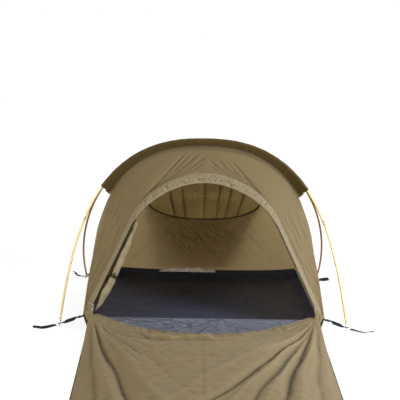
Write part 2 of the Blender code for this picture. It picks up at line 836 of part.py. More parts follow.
def roll_centre(share):
    """The rolled door's middle line beside the left leg; share is 0 at its foot and 1 at its top."""
    foot, up, inward, outward = door_leg(-1)
    length = (Vector(DOOR_LEG_TOP) - Vector(DOOR_LEG_FOOT)).length
    aside = EDGE_GAP + ZIP_WIDTH + ROLL_GAP + roll_radius(share)
    along = foot + up * blend(ROLL_FOOT, length, share)
    return along + inward * aside - outward * ROLL_SET_BACK


def add_rolled_door():
    """The door, rolled up beside its left leg, with the tie and toggle that hold it."""
    count = 16
    shares = [step / count for step in range(count + 1)]
    radii = [roll_radius(share) / ROLL_RADIUS for share in shares]
    points = [roll_centre(share) for share in shares]
    add_wire("rolled_door", "canopy_cloth", points, ROLL_RADIUS, radii)
    _, up, inward, outward = door_leg(-1)
    radius = roll_radius(TIE_AT) * TIE_EASE + FIT_GAP + WEBBING / 2
    half = TIE_WIDTH / 2

    def band(u, v):
        turn = math.tau * u
        middle = roll_centre(TIE_AT) + up * blend(-half, half, v)
        return middle + (inward * math.cos(turn) + outward * math.sin(turn)) * radius

    add_sheet("door_tie", "zip_tape", band, 16, 1, closed=True, thickness=WEBBING)
    away = radius + WEBBING / 2 + FIT_GAP + TOGGLE_RADIUS
    centre = roll_centre(TIE_AT) + outward * away
    bead = TOGGLE_RADIUS * TOGGLE_WAIST
    end = TOGGLE_LENGTH / 2
    shoulder = end * TOGGLE_SHOULDER
    profile = [(0.0, end), (bead, end), (TOGGLE_RADIUS, shoulder), (bead, 0.0)]
    profile += [(TOGGLE_RADIUS, -shoulder), (bead, -end), (0.0, -end)]
    add_turned("door_toggle", "black_plastic", profile, frame_at(centre, outward, up), steps=10)


def make_door_furniture():
    add_sheet("door_zip", "zip_tape", zip_surface, 40, 1, thickness=ZIP_THICKNESS)
    add_sliders()
    add_rolled_door()


# Webbing


def eyelet_profile():
    """A rolled eyelet, in section: a barrel through the webbing with a flange on each face."""
    inner = WEBBING / 2 + FIT_GAP
    outer = inner + EYELET_PLATE
    return [
        (EYELET_BORE, outer),
        (EYELET_FLANGE, outer),
        (EYELET_FLANGE, inner),
        (EYELET_BARREL, inner),
        (EYELET_BARREL, -inner),
        (EYELET_FLANGE, -inner),
        (EYELET_FLANGE, -outer),
        (EYELET_BORE, -outer),
    ]


def add_corner(row, row_name, side, side_name):
    """One corner's buckle, strap, eyelet and free strap end, out to a pole foot."""
    name = f"{row_name}_{side_name}"
    end, down = pole_end(pole_path(row), side)
    eyelet = point_at_height(end, down, EYELET_Z)
    corner_x = side * (CORNER_HALF_WIDTH + BUCKLE_CLEARANCE)
    corner = Vector((corner_x, row * CORNER_Y, CORNER_Z - BUCKLE_DROP))
    along = (eyelet - corner).normalized()
    tilt = (-down).lerp(Vector((0, 0, 1)), STRAP_TWIST)
    rail = BUCKLE_WIDTH / 2 - BUCKLE_RAIL
    slots = [rectangle(BUCKLE_BAR, BUCKLE_BAR + BUCKLE_SLOT, rail)]
    slots.append(rectangle(BUCKLE_LENGTH - BUCKLE_BAR - BUCKLE_SLOT, BUCKLE_LENGTH - BUCKLE_BAR, rail))
    outline = rectangle(0.0, BUCKLE_LENGTH, BUCKLE_WIDTH / 2)
    buckle_frame = frame_at(corner, along, tilt)
    add_plate(
        f"{name}_buckle", "black_plastic", [outline, *slots], BUCKLE_THICKNESS, buckle_frame
    )
    strap_start = corner + along * (BUCKLE_LENGTH + FIT_GAP)
    reach = (eyelet - strap_start).length
    strap_frame = frame_at(strap_start, along, tilt)
    strap = round_ended(0.0, reach + STRAP_PAST_EYELET, WEBBING_WIDTH / 2)
    hole = circle(reach, EYELET_BARREL + FIT_GAP)
    add_plate(f"{name}_strap", "webbing", [strap, hole], WEBBING, strap_frame)
    eyelet_frame = strap_frame.copy()
    eyelet_frame.translation = eyelet
    add_turned(f"{name}_eyelet", "bare_metal", eyelet_profile(), eyelet_frame, ring=True)
    add_tail(name, row, side, eyelet + along * STRAP_PAST_EYELET, along)


def add_tail(name, row, side, fold, along):
    """The strap's free end, hinged on a line that just clears the strap's round end."""
    length, swing = (FRONT_TAIL, -FRONT_TAIL_SWING) if row < 0 else (REAR_TAIL, REAR_TAIL_SWING)
    turn = math.radians(swing)
    away = Vector((side * math.cos(turn), math.sin(turn), 0))
    rounding = WEBBING_WIDTH / 2
    origin = fold - along * rounding + away * (rounding + FOLD_GAP)
    origin.z = fold.z
    drop = origin.z - WEBBING
    out = Vector((away.x * length, away.y * length, -drop)).normalized()
    outline = round_ended(0.0, length, WEBBING_WIDTH / 2)
    add_plate(f"{name}_strap_end", "webbing", [outline], WEBBING, frame_at(origin, out, (0, 0, 1)))


def add_foot_loops():
    """A webbing loop for a peg at each rounded corner of the foot end, square to the edge there."""
    rim_rise = (WEBBING + FIT_GAP) * WALL_LEAN
    for side, name in ((-1, "left"), (1, "right")):
        across = FOOT_LOOP_ACROSS
        y = leg_end_y(across)
        x = side * leg_half_width(y) * across
        slope = FOOT_ROUNDING * FOOT_POWER * across ** (FOOT_POWER - 1) / LEG_END_HALF_WIDTH
        away = Vector((side * slope, -1, 0)).normalized()
        start = tray_floor(x, y) + away * (rim_rise + EDGE_GAP)
        start.z = WEBBING / 2 + FIT_GAP
        outline = round_ended(0.0, FOOT_LOOP_LENGTH, FOOT_LOOP_HALF_WIDTH)
        inner = FOOT_LOOP_HALF_WIDTH - FOOT_LOOP_BAND
        hole = round_ended(FOOT_LOOP_BAND, FOOT_LOOP_LENGTH - FOOT_LOOP_BAND, inner)
        matrix = frame_at(start, away, (0, 0, 1))
        add_plate(f"{name}_foot_loop", "webbing", [outline, hole], WEBBING, matrix)


def make_webbing():
    for row, row_name in ((-1, "front"), (1, "rear")):
        for side, side_name in ((-1, "left"), (1, "right")):
            add_corner(row, row_name, side, side_name)
    add_foot_loops()


PARTS = start_scene()
make_poles()
make_canopy()
make_leg_section()
make_door_furniture()
make_webbing()
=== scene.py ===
"""The looks of a one-person bivvy tent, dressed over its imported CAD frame.

Units are metres in the frame of the CAD: X runs across the tent, +Y to its head end, +Z up.
"""

import math

import bmesh
import bpy
from mathutils import Matrix, Vector, noise


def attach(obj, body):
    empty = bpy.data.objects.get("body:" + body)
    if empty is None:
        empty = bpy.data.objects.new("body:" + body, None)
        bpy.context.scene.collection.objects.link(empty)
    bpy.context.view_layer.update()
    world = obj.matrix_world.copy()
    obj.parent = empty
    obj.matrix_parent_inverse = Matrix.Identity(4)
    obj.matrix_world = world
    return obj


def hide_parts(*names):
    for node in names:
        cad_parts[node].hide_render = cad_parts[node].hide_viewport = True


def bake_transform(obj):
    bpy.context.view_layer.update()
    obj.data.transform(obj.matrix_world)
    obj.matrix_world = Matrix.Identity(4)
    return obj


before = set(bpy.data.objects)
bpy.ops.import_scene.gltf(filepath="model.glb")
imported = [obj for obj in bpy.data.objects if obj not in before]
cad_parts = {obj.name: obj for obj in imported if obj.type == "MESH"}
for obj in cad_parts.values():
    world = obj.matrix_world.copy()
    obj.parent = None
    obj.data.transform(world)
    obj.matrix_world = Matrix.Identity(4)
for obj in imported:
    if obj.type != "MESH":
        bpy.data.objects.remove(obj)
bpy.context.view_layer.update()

# Camera: its place, its yaw, pitch and roll in degrees, and its lens on a 36 mm sensor
CAMERA_PLACE = (-0.056, -2.721, 0.905)
CAMERA_TURN = (0.769, 9.572, -1.142)
CAMERA_LENS = 58.5

# Light: each lamp's place, side, watts and colour, the even light from all round, and the place
# that all lamps look at
WHITE = (1.0, 1.0, 1.0)
LAMPS = {
    "key": ((2.0, -1.0, 1.2), 0.7, 56, (0.95, 1.0, 1.17)),
    "left": ((-2.1, -1.5, 1.2), 1.4, 36, WHITE),
    "front": ((0.2, -3.2, 1.6), 1.8, 11, WHITE),
    "above": ((0.4, 0.4, 2.6), 1.0, 15, WHITE),
    "back": ((0.9, 2.0, 1.7), 1.0, 21, WHITE),
}
EVEN_LIGHT = 0.145
LAMP_AIM = (0.0, -0.3, 0.2)

# Floor: the share of its own light in what the camera sees, and how that light's strength grows
# from one distance to another
FLOOR_SHARE = 0.75
FLOOR_FADE = {"From_Min": 1.2, "From_Max": 5.0, "To_Min": 1.14, "To_Max": 1.37}

# Up, and the tent's sides by their sign along X
UP = Vector((0, 0, 1))
SIDES = ((-1, "left"), (1, "right"))

# The hoops and their sleeve, as in the CAD
FOOT_HALF_WIDTH = 0.555
FOOT_HALF_SPREAD = 0.336
HOOP_HEIGHT = 0.700
RIDGE_HALF_GAP = 0.008
HOOP_SIDE_POWER = 0.842
HOOP_CROWN_POWER = 0.864
SPREAD_POWER = 2.26
POLE_RADIUS = 0.00425
POLE_SECTIONS = 5
POLE_START = 0.030
SECTION_GAP = 0.0011
SLEEVE_END_ANGLE = 0.744
SLEEVE_MARGIN = 0.0022
SEAM_INSET = 0.0420
SEAM_HALF_GAP = 0.0035

# The head end, as in the CAD
CLOTH = 0.0010
EDGE_GAP = 0.0008
CORNER_HALF_WIDTH = 0.460
CORNER_Y = 0.350
CORNER_Z = 0.055
SIDE_EDGE_BOW = 0.020
SIDE_BULGE = 0.012
REAR_SEAM_DIP = 0.015
DOOR_HEM_SAG = 0.004
DOOR_LEG_FOOT = (0.436, -0.338, 0.072)
DOOR_LEG_TOP = (0.288, -0.165, 0.385)
DOOR_CROWN = (0.0, -0.075, 0.538)
DOOR_SHOULDER = 0.100
DOOR_CROWN_REACH = 0.120
VENT_CENTRE_Z = 0.445
VENT_HALF_WIDTH = 0.255
VENT_DROP = 0.120
VENT_RISE = 0.130
VENT_POWER = 2.4
HOOD_TOP_Z = 0.612
HOOD_TOP_HALF_WIDTH = 0.275
HOOD_TOP_FALL = 0.145
HOOD_HEM_HALF_WIDTH = 0.145
HOOD_HEM_Y = 0.490
HOOD_HEM_Z = 0.080
HOOD_BELLY = 0.014

# The leg section, as in the CAD
LEG_START_Y = -0.350
LEG_START_HALF_WIDTH = 0.437
LEG_END_Y = -1.860
LEG_END_HALF_WIDTH = 0.330
FOOT_ROUNDING = 0.090
LEG_WALL_HEIGHT = 0.028
LEG_CROWN = 0.085
WALL_LEAN = 0.45
TRAY_NECK = 0.050
TRAY_CENTRE_Y = -0.750
CORNER_TUCK = 0.0065
SAG_DEPTH = 0.130
SAG_EDGE_Z = 0.033
SAG_CORNER_RISE = 0.040
SAG_CORNER_DROP = 0.016
SILL_TOP_Z = 0.047
SILL_RUN = 0.120
SILL_HALF_WIDTH = 0.405

# Door furniture, as in the CAD
ZIP_WIDTH = 0.008
ZIP_THICKNESS = 0.0016
ROLL_RADIUS = 0.017
ROLL_GAP = 0.0019
ROLL_SET_BACK = 0.008
ROLL_FOOT = 0.030
TIE_AT = 0.34
FIT_GAP = 0.00035
SLIDER_SIZE = (0.013, 0.009, 0.005)
SLIDER_START = 0.016
PULL_THICKNESS = 0.0014
PULL_LEAN = 0.55

# Webbing, as in the CAD
WEBBING = 0.0014
EYELET_Z = 0.0102
BUCKLE_CLEARANCE = 0.0055
BUCKLE_DROP = 0.006
STRAP_PAST_EYELET = 0.013
FOOT_LOOP_ACROSS = 0.84
FOOT_LOOP_LENGTH = 0.042
FOOT_LOOP_BAND = 0.009
FOOT_LOOP_HALF_WIDTH = 0.018

# Cloth made here, which lies on the CAD's sheets
ROLL_TUCK = -0.070
REAR_COVE = 0.018
SHEET = 0.0008
HEM_BAND_TOP = 0.034
HEM_BAND_SIDE = 0.021
HEM_PAST_ZIP = (0.0105, 0.0042)
GATHER_PITCH = 0.018
GATHER_HEIGHT = 0.0080
SLEEVE_HEM_INSET = (0.0215, 0.034)
SEAM_STRIP = (0.0424, 0.018)
SEAM_TAPE_ENDS = (-0.205, 0.068)
SEAM_TAPE_HEIGHT = 0.017
NET_THICKNESS = 0.0003
DOOR_THICKNESS = 0.0005
ROLL_TURNS = 14
STITCH_RADIUS = 0.00042

# Trims and straps made here, each as its width and its thickness
WINDOW_BINDING = (0.0085, 0.0030)
RIM_PIPING = (0.0070, 0.0030)
HOOD_HEM = (0.010, 0.0026)
SLEEVE_HEM = (0.011, 0.0026)
LEG_HEM = (0.0075, 0.0022)
CORNER_TAB = (0.0175, 0.0014)
STRAP = (0.0195, 0.0016)
STRAP_END = (0.0195, WEBBING)
DOOR_TIE = (0.012, 0.0016)
PULL_TAPE = (0.0072, 0.0013)
PEG_LOOP = (0.0088, WEBBING)

# The zip: where its left run, painted a deep brown as the shade in the slit beside the rolled door,
# ends round the arch, its tape's thickness, how far its coil lies in from the tape's edge, and the
# coil's radii between and on its teeth
ZIP_SPLIT = -0.48
ZIP_TAPE_THICKNESS = 0.0012
COIL_INSET = 0.0008
COIL_RADII = (0.0009, 0.0013)

# Sliders: the height of the bail's feet above the slider's middle, the bail's half length and
# height, and its wire's radius
BAIL_FOOT = 0.0022
BAIL_HALF_LENGTH = 0.0042
BAIL_HEIGHT = 0.0030
BAIL_WIRE = 0.00075

# Pulls: the half length, the half width and the wire's radius of the ring, and its tape's ends
RING_HALF_LENGTH = 0.0044
RING_HALF_WIDTH = 0.0038
RING_WIRE = 0.0007
PULL_TAPE_ENDS = (0.0078, 0.0238)
PULL_CURL = 0.0022

# The rolled door: its core's radius as a share of its skin's, and its skin's and its tie's radius
# as shares of the CAD's
ROLL_CORE = 0.16
ROLL_SKIN = 0.95
TIE_RADIUS = 0.86

# Corners: how far from the buckle's middle the tab ends and the strap starts, and how far each
# bows; how far from the strap's end its seams are, and their half length
TAB_REACH = 0.0062
TAB_RISE = 0.0014
STRAP_REACH = 0.0150
STRAP_SAG = 0.0010
STRAP_SEAMS = (0.0205, 0.0270)
STRAP_SEAM_HALF_LENGTH = 0.0075

# Eyelets: the radius of the ring's middle line, and half the width and the height of its section
EYELET_RADIUS = 0.0053
EYELET_HALF_WIDTH = 0.0019
EYELET_HALF_HEIGHT = 0.0013

# Free strap ends by row, -1 in front and 1 behind: their length, the degrees they turn back and
# their twist; how high each end lifts, by row and side; their height on the ground, and the lift
# that keeps the lower edge of a twisted one above it
STRAP_ENDS = {-1: (0.090, -31, 0.25), 1: (0.055, 16, -0.9)}
STRAP_END_LIFT = {(-1, -1): 0.010, (-1, 1): 0.010, (1, -1): 0.018, (1, 1): 0.002}
STRAP_END_GROUND = 0.0016
STRAP_END_EDGE = 0.0095

# How far round a point its crease is felt, and how deep a crease is where its painted shade is at its
# darkest
CREASE = (0.006, 0.0015)
LEG_CREASE = (0.011, 0.0042)
REAR_CREASE = (0.007, 0.0024)
HEM_CREASE = (0.004, 0.0011)

# Front panel: tension folds that rise from the hem, as where they start across the tent, their
# slope in degrees, their length and their depth
FRONT_FOLDS = (
    (0.240, 46, 0.230, 0.0056),
    (0.222, 45, 0.110, 0.0036),
    (0.203, 43, 0.190, 0.0050),
    (0.178, 42, 0.115, 0.0044),
    (0.158, 40, 0.170, 0.0052),
    (0.130, 38, 0.100, 0.0040),
    (0.104, 36, 0.125, 0.0046),
    (0.074, 33, 0.075, 0.0034),
)
FRONT_FOLD_HALF_WIDTH = 0.0060
FOLDS_ON_RIGHT = 0.8

# Leg panel: folds that fan out from its two upper corners, as side, degrees from straight down
# the tent at half a metre, degrees gained with each metre, height (below zero for a crease)
# and half width
LEG_FOLDS = (
    (-1, 5.5, 0, 0.0030, 0.012),
    (-1, 9.3, 2, -0.0070, 0.011),
    (-1, 12.6, 0, 0.0070, 0.016),
    (-1, 15.4, 0, -0.0140, 0.012),
    (-1, 20.0, 0, 0.0060, 0.018),
    (-1, 26.0, 4, -0.0025, 0.012),
    (1, 5.5, 0, 0.0030, 0.012),
    (1, 9.4, 3, -0.0080, 0.013),
    (1, 13.8, 0, 0.0090, 0.018),
    (1, 17.4, 0, -0.0160, 0.012),
    (1, 19.4, 1, 0.0040, 0.010),
    (1, 21.2, 2, -0.0110, 0.010),
    (1, 23.4, 4, 0.0090, 0.013),
    (1, 26.0, 6, -0.0140, 0.010),
    (1, 30.5, 8, 0.0070, 0.018),
    (1, 38.0, 10, -0.0030, 0.014),
    (1, 52.0, 10, 0.0020, 0.014),
)
FAN_INSET = 0.007
FOLD_START = 0.16
FOLD_FADE_FROM = 0.62
FOLD_FADE_LENGTH = 0.75
FOLD_MEANDER = 0.9

# Leg panel: the crease below its sagging edge, as points with a depth at each; its half width, and
# how far above it the soft roll lies
CREASE_LINE = (
    (-0.240, -0.455, 0.000),
    (-0.212, -0.590, 0.018),
    (-0.190, -0.662, 0.026),
    (-0.135, -0.690, 0.024),
    (-0.060, -0.698, 0.026),
    (0.012, -0.704, 0.030),
    (0.036, -0.704, 0.010),
    (0.120, -0.702, 0.008),
    (0.200, -0.660, 0.000),
)
CREASE_LINE_HALF_WIDTH = 0.009
CREASE_RIDGE = 0.024

# Leg panel: the sharp lines left from its packing, each across the tent, with its place along the
# tent, its depth, its middle and its half length
PACKING_LINES = (
    (-0.852, 0.0022, -0.03, 0.17),
    (-1.078, 0.0018, -0.08, 0.12),
    (-1.420, 0.0018, 0.05, 0.22),
)

# Rear wall: folds from beside the window down to the corners, as the places across the tent where
# each starts and ends, and its height
REAR_FOLDS = ((0.19, 0.43, 0.0025), (0.14, 0.36, -0.002), (0.08, 0.27, 0.002))

# The leg panel's right upper corner, which the left one mirrors: its top edge and its lower edge,
# from the door outward
FLAP_TOP = ((0.4315, -0.3400, 0.0790), (0.4500, -0.3475, 0.0690), (0.4610, -0.3480, 0.0590))
FLAP_BOTTOM = ((0.4120, -0.3760, 0.0520), (0.4330, -0.3840, 0.0380), (0.4460, -0.3640, 0.0200))

# The materials of the CAD's own nodes, by a word in their names
NODE_LOOKS = {
    "ferrule": "fitting",
    "tip": "fitting",
    "shock_cord": "cord",
    "buckle": "plastic",
    "toggle": "toggle",
}

# Hood folds, each across the hood from -1 to 1, with its half width
HOOD_FOLDS = ((-0.62, 0.05), (-0.40, 0.05), (0.02, 0.06), (0.30, 0.04), (0.50, 0.05), (0.72, 0.05))
HOOD_FOLD_DEPTH = 0.017

# Colours, linear
CANOPY = (0.280, 0.220, 0.115)
CANOPY_HEM = (0.305, 0.243, 0.136)
CANOPY_GLOW = (0.92, 0.80, 0.56)
HOOD_GLOW = (0.94, 0.78, 0.44)
SLEEVE = (0.074, 0.049, 0.012)
FLOOR_CLOTH = (0.024, 0.029, 0.052)
# The sill's cloth is lighter and bluer than the floor's: partly its own glossier coat, partly painted
# light that the sill catches
SILL_CLOTH = (0.064, 0.068, 0.094)
LEG_CLOTH = (0.255, 0.193, 0.095)
BINDING = (0.034, 0.022, 0.006)
WEBBING_COLOUR = (0.006, 0.007, 0.013)
THREAD_TAN = (0.380, 0.300, 0.180)
THREAD_DARK = (0.045, 0.032, 0.015)


# Small helpers


def blend(low, high, share):
    return low + (high - low) * share


def clamp(value, low=0.0, high=1.0):
    return min(max(value, low), high)


def smooth_step(share):
    share = clamp(share)
    return share * share * (3 - 2 * share)


def shares(count):
    """Evenly spaced values from 0 to 1, with both ends."""
    return [step / count for step in range(count + 1)]


def circle(count):
    """Evenly spaced angles of one turn."""
    return [math.tau * step / count for step in range(count)]


def arc_place(first, second, angle):
    """A place on the ellipse that starts at one half axis and turns towards the other."""
    return first * math.cos(angle) + second * math.sin(angle)


def runs(points):
    """How far each point of a line is along it."""
    result = [0.0]
    for here, there in zip(points, points[1:]):
        result.append(result[-1] + (there - here).length)
    return result


def bezier(p0, p1, p2, p3, t):
    s = 1 - t
    return p0 * s**3 + p1 * 3 * s * s * t + p2 * 3 * s * t * t + p3 * t**3


def ripple(x, y, pitch, seed):
    """Smooth noise from about -1 to 1, with one swell per pitch."""
    return noise.noise(Vector((x / pitch, y / pitch, seed))) * 1.6


def ridges(x, y, pitch, seed, power=3):
    """Sharp crests from 0 to 1, which wander as creases in cloth do."""
    return max(1 - abs(ripple(x, y, pitch, seed)), 0.0) ** power


def crumple(point, pitch, seed):
    """Smooth noise in space from about -1 to 1."""
    return noise.noise(point / pitch + Vector((seed, 0.7 * seed, 1.3 * seed))) * 1.6


def hump(distance, half_width):
    """A smooth ridge, 1 on its line and next to nothing two half widths away."""
    return math.exp(-((distance / half_width) ** 2))


def sharp_hump(distance, half_width):
    """A ridge with a narrow crest, as a crease has."""
    return math.exp(-abs(distance / half_width) ** 1.3)


def segment_fold(x, z, start, end, half_width):
    """How much of a straight fold from start to end is felt at (x, z); it fades at both ends."""
    run_x = end[0] - start[0]
    run_z = end[1] - start[1]
    length = math.hypot(run_x, run_z)
    along = ((x - start[0]) * run_x + (z - start[1]) * run_z) / length**2
    if along < -0.2 or along > 1.2:
        return 0.0
    aside = ((x - start[0]) * run_z - (z - start[1]) * run_x) / length
    fade = smooth_step((along + 0.2) / 0.4) * smooth_step((1.2 - along) / 0.4)
    return sharp_hump(aside, half_width) * fade


# Shapes of the CAD, from the same values


def hoop(angle, inset=0.0):
    """(x, z) of the arch in front view; the angle runs from 0, right foot, to pi, left foot."""
    cosine = math.cos(angle)
    across = math.copysign(abs(cosine) ** HOOP_SIDE_POWER, cosine)
    up = max(math.sin(angle), 0.0) ** HOOP_CROWN_POWER
    return (FOOT_HALF_WIDTH - inset) * across, (HOOP_HEIGHT - inset) * up


def pole_spread(z):
    """How far a pole's centre line is from the ridge plane, at a height."""
    fall = max(1 - z / HOOP_HEIGHT, 0.0)
    return RIDGE_HALF_GAP + (FOOT_HALF_SPREAD - RIDGE_HALF_GAP) * fall**SPREAD_POWER


def pole_path(row, count):
    """Evenly spaced points along one pole, from right to left; row is -1 in front and 1 behind."""
    fine_steps = 2000
    fine = []
    for share in shares(fine_steps):
        x, z = hoop(math.pi * share)
        fine.append(Vector((x, row * pole_spread(z), z)))
    run = runs(fine)
    points = []
    index = 0
    for place in shares(count):
        wanted = blend(POLE_START, run[-1] - POLE_START, place)
        while run[index + 1] < wanted:
            index += 1
        share = (wanted - run[index]) / (run[index + 1] - run[index])
        points.append(fine[index].lerp(fine[index + 1], share))
    return points


def seam_height(x):
    """Height of the ridge seam, where the canopy's panels meet under the sleeve."""
    half_width = FOOT_HALF_WIDTH - SEAM_INSET
    share = min(abs(x) / half_width, 1.0)
    rise = 1 - share ** (2 / HOOP_SIDE_POWER)
    return (HOOP_HEIGHT - SEAM_INSET) * rise ** (HOOP_CROWN_POWER / 2)


def wall_depth(x, z):
    """How far a sloping end wall stands out from the ridge, at a place in front view."""
    share = 1 - (z - CORNER_Z) / max(seam_height(x) - CORNER_Z, 0.001)
    return blend(SEAM_HALF_GAP, CORNER_Y, clamp(share))


def side_edge(share):
    """(x, z) of the edge between an end wall and a side panel, from the sleeve down."""
    top_x, top_z = hoop(SLEEVE_END_ANGLE, SEAM_INSET)
    x = blend(top_x, CORNER_HALF_WIDTH, share) + SIDE_EDGE_BOW * math.sin(math.pi * share)
    return x, blend(top_z, CORNER_Z, share)


def canopy_edge(s):
    """(x, z) of an end wall's outer edge: s is 0 at the ridge and 1 at the right corner."""
    share = abs(s)
    if share <= 0.5:
        x, z = hoop(blend(math.pi / 2, SLEEVE_END_ANGLE, share * 2), SEAM_INSET)
    else:
        x, z = side_edge(share * 2 - 1)
    return math.copysign(x, s), z


def door_edge(s):
    """A point of the door arch: s is 0 at its crown and 1 at the foot of its right leg."""
    foot = Vector(DOOR_LEG_FOOT)
    top = Vector(DOOR_LEG_TOP)
    crown = Vector(DOOR_CROWN)
    share = abs(s)
    if share <= 0.5:
        shoulder = top + (top - foot).normalized() * DOOR_SHOULDER
        reach = crown + Vector((DOOR_CROWN_REACH, 0, 0))
        point = bezier(crown, reach, shoulder, top, share * 2)
    else:
        point = top.lerp(foot, share * 2 - 1)
    point.x = math.copysign(point.x, s)
    return point


def on_wall(x, z, row):
    """The place of (x, z) on an end wall; row is -1 in front and 1 behind."""
    return Vector((x, row * wall_depth(x, z), z))


def front_width(s):
    """The front panel's width at s, from its outer edge to the door arch."""
    return (door_edge(s) - on_wall(*canopy_edge(s), -1)).length


def front_surface(u, v):
    """The front wall: v runs from its outer edge in to the door arch."""
    s = u * 2 - 1
    outer = on_wall(*canopy_edge(s), -1)
    inner = door_edge(s)
    point = outer.lerp(inner, blend(EDGE_GAP / (inner - outer).length, 1.0, v))
    point.y += DOOR_HEM_SAG * math.sin(math.pi * v)
    return point


def side_surface(side):
    """A side panel: v runs from the sleeve's end down, u from front to rear."""

    def surface(u, v):
        x, z = side_edge(blend(0.02, 1.0, v))
        reach = wall_depth(x, z) - EDGE_GAP
        across = u * 2 - 1
        bulge = SIDE_BULGE * (1 - across**2) * math.sin(math.pi * v**0.7)
        return Vector((side * (x + bulge + EDGE_GAP), across * reach, z))

    return surface


def vent_edge(turn, gap=0.0):
    """(x, z) of the window's edge; turn runs from 0, at its top, to 1, clockwise."""
    angle = math.tau * turn
    sine = math.sin(angle)
    cosine = math.cos(angle)
    rise = VENT_RISE if cosine > 0 else VENT_DROP
    power = 2 / VENT_POWER
    x = (VENT_HALF_WIDTH - gap) * math.copysign(abs(sine) ** power, sine)
    z = (rise - gap) * math.copysign(abs(cosine) ** power, cosine)
    return x, VENT_CENTRE_Z + z


def rear_seam_z(x):
    """Height of the seam between the rear wall and the groundsheet."""
    return CORNER_Z - REAR_SEAM_DIP * (1 - min(abs(x) / CORNER_HALF_WIDTH, 1.0) ** 4)


def rear_outline(turn):
    """(x, z) of the rear wall's outer edge, turning with vent_edge."""
    half = turn * 2 if turn <= 0.5 else (1 - turn) * 2
    sign = 1 if turn <= 0.5 else -1
    along_canopy = 0.72
    if half <= along_canopy:
        x, z = canopy_edge(half / along_canopy)
    else:
        share = (half - along_canopy) / (1 - along_canopy)
        x = blend(CORNER_HALF_WIDTH, 0.0, share)
        z = rear_seam_z(x)
    return sign * x, z


def rear_surface(u, v):
    """The rear wall round its window: v runs from the outer edge in to the window."""
    outer_x, outer_z = rear_outline(u)
    inner_x, inner_z = vent_edge(u)
    return on_wall(blend(outer_x, inner_x, v), blend(outer_z, inner_z, v), 1)


def net_surface(u, v):
    """The net in the window: v runs from its middle out."""
    edge_x, edge_z = vent_edge(u, EDGE_GAP)
    share = blend(0.02, 1.0, v)
    return on_wall(edge_x * share, blend(VENT_CENTRE_Z, edge_z, share), 1)


def hood_surface(u, v):
    """The hood over the vent: v runs from its seam on the wall down to its hem."""
    across = u * 2 - 1
    top_x = HOOD_TOP_HALF_WIDTH * across
    top_z = HOOD_TOP_Z - HOOD_TOP_FALL * across**2
    top = on_wall(top_x, top_z, 1) + Vector((0, CLOTH + EDGE_GAP, 0))
    hem = Vector((HOOD_HEM_HALF_WIDTH * across, HOOD_HEM_Y, HOOD_HEM_Z))
    point = top.lerp(hem, v)
    folds = sum(sharp_hump(across - middle, half_width) for middle, half_width in HOOD_FOLDS)
    swell = math.sin(math.pi * clamp(v)) ** 0.6
    point.y += (HOOD_BELLY - HOOD_FOLD_DEPTH * folds) * swell
    return point


def sleeve_half(angle, share):
    """(y, inset) on the sleeve's rear half; share runs from 0 on the ridge to 1 at its hem."""
    _, pole_z = hoop(angle)
    spread = pole_spread(pole_z)
    cover = POLE_RADIUS + SLEEVE_MARGIN + CLOTH / 2
    if share < 0.2:
        sag = 0.0016 * (1 - (share / 0.2) ** 2)
        return spread * share / 0.2, sag - cover
    if share < 0.6:
        turn = math.pi / 2 * (share - 0.2) / 0.4
        return spread + cover * math.sin(turn), -cover * math.cos(turn)
    run = (share - 0.6) / 0.4
    hem_inset = blend(*SLEEVE_HEM_INSET, smooth_step((1 - math.sin(angle)) / 0.30))
    return blend(spread + cover, SEAM_HALF_GAP + 4 * CLOTH, run), hem_inset * run


def sleeve_surface(u, v):
    """The pole sleeve: u along the ridge, v over the poles from the front hem to the rear one."""
    angle = blend(SLEEVE_END_ANGLE, math.pi - SLEEVE_END_ANGLE, u)
    y, inset = sleeve_half(angle, abs(2 * v - 1))
    x, z = hoop(angle, inset)
    return Vector((x, math.copysign(y, v - 0.5), z))


def seam_strip_surface(row):
    """The top strip of an end wall, sewn on below the sleeve and hidden by it above."""

    def surface(u, v):
        end_angle = SLEEVE_END_ANGLE - 0.016
        angle = blend(end_angle, math.pi - end_angle, u)
        x, z = hoop(angle, blend(*SEAM_STRIP, v))
        return Vector((x, row * blend(0.0042, 0.0054, v), z))

    return surface


def leg_half_width(y):
    share = (y - LEG_START_Y) / (LEG_END_Y - LEG_START_Y)
    return blend(LEG_START_HALF_WIDTH, LEG_END_HALF_WIDTH, clamp(share))


def leg_end_y(across):
    """The foot end's rounded edge; across is 0 in the middle and 1 at a side."""
    return LEG_END_Y + FOOT_ROUNDING * abs(across) ** 5


def from_corner(x, y, side, inset=0.0):
    """How far a place is from a raised corner of the leg panel, and its degrees from straight down."""
    run = max(LEG_START_Y - y, 0.0001)
    inward = LEG_START_HALF_WIDTH - inset - side * x
    return math.hypot(run, inward), math.degrees(math.atan2(inward, run))


def fan_folds(x, y):
    """Height of the tension folds that fan out from the panel's two raised corners."""
    height = 0.0
    for index, (side, degrees, gain, fold_height, half_width) in enumerate(LEG_FOLDS):
        reach, turn = from_corner(x, y, side, FAN_INSET)
        if reach < 0.01:
            continue
        turn -= degrees + gain * (reach - 0.5)
        turn += FOLD_MEANDER * ripple(reach, 0.0, 0.22, index * 3.1)
        aside = reach * math.radians(turn) / half_width
        aside /= blend(0.40, 1.10, smooth_step(reach / 0.5))
        if abs(aside) > 4:
            continue
        fade = smooth_step(reach / FOLD_START)
        fade *= 1 - smooth_step((reach - FOLD_FADE_FROM) / FOLD_FADE_LENGTH)
        height += fold_height * math.exp(-(abs(aside) ** 1.6)) * fade
    return height


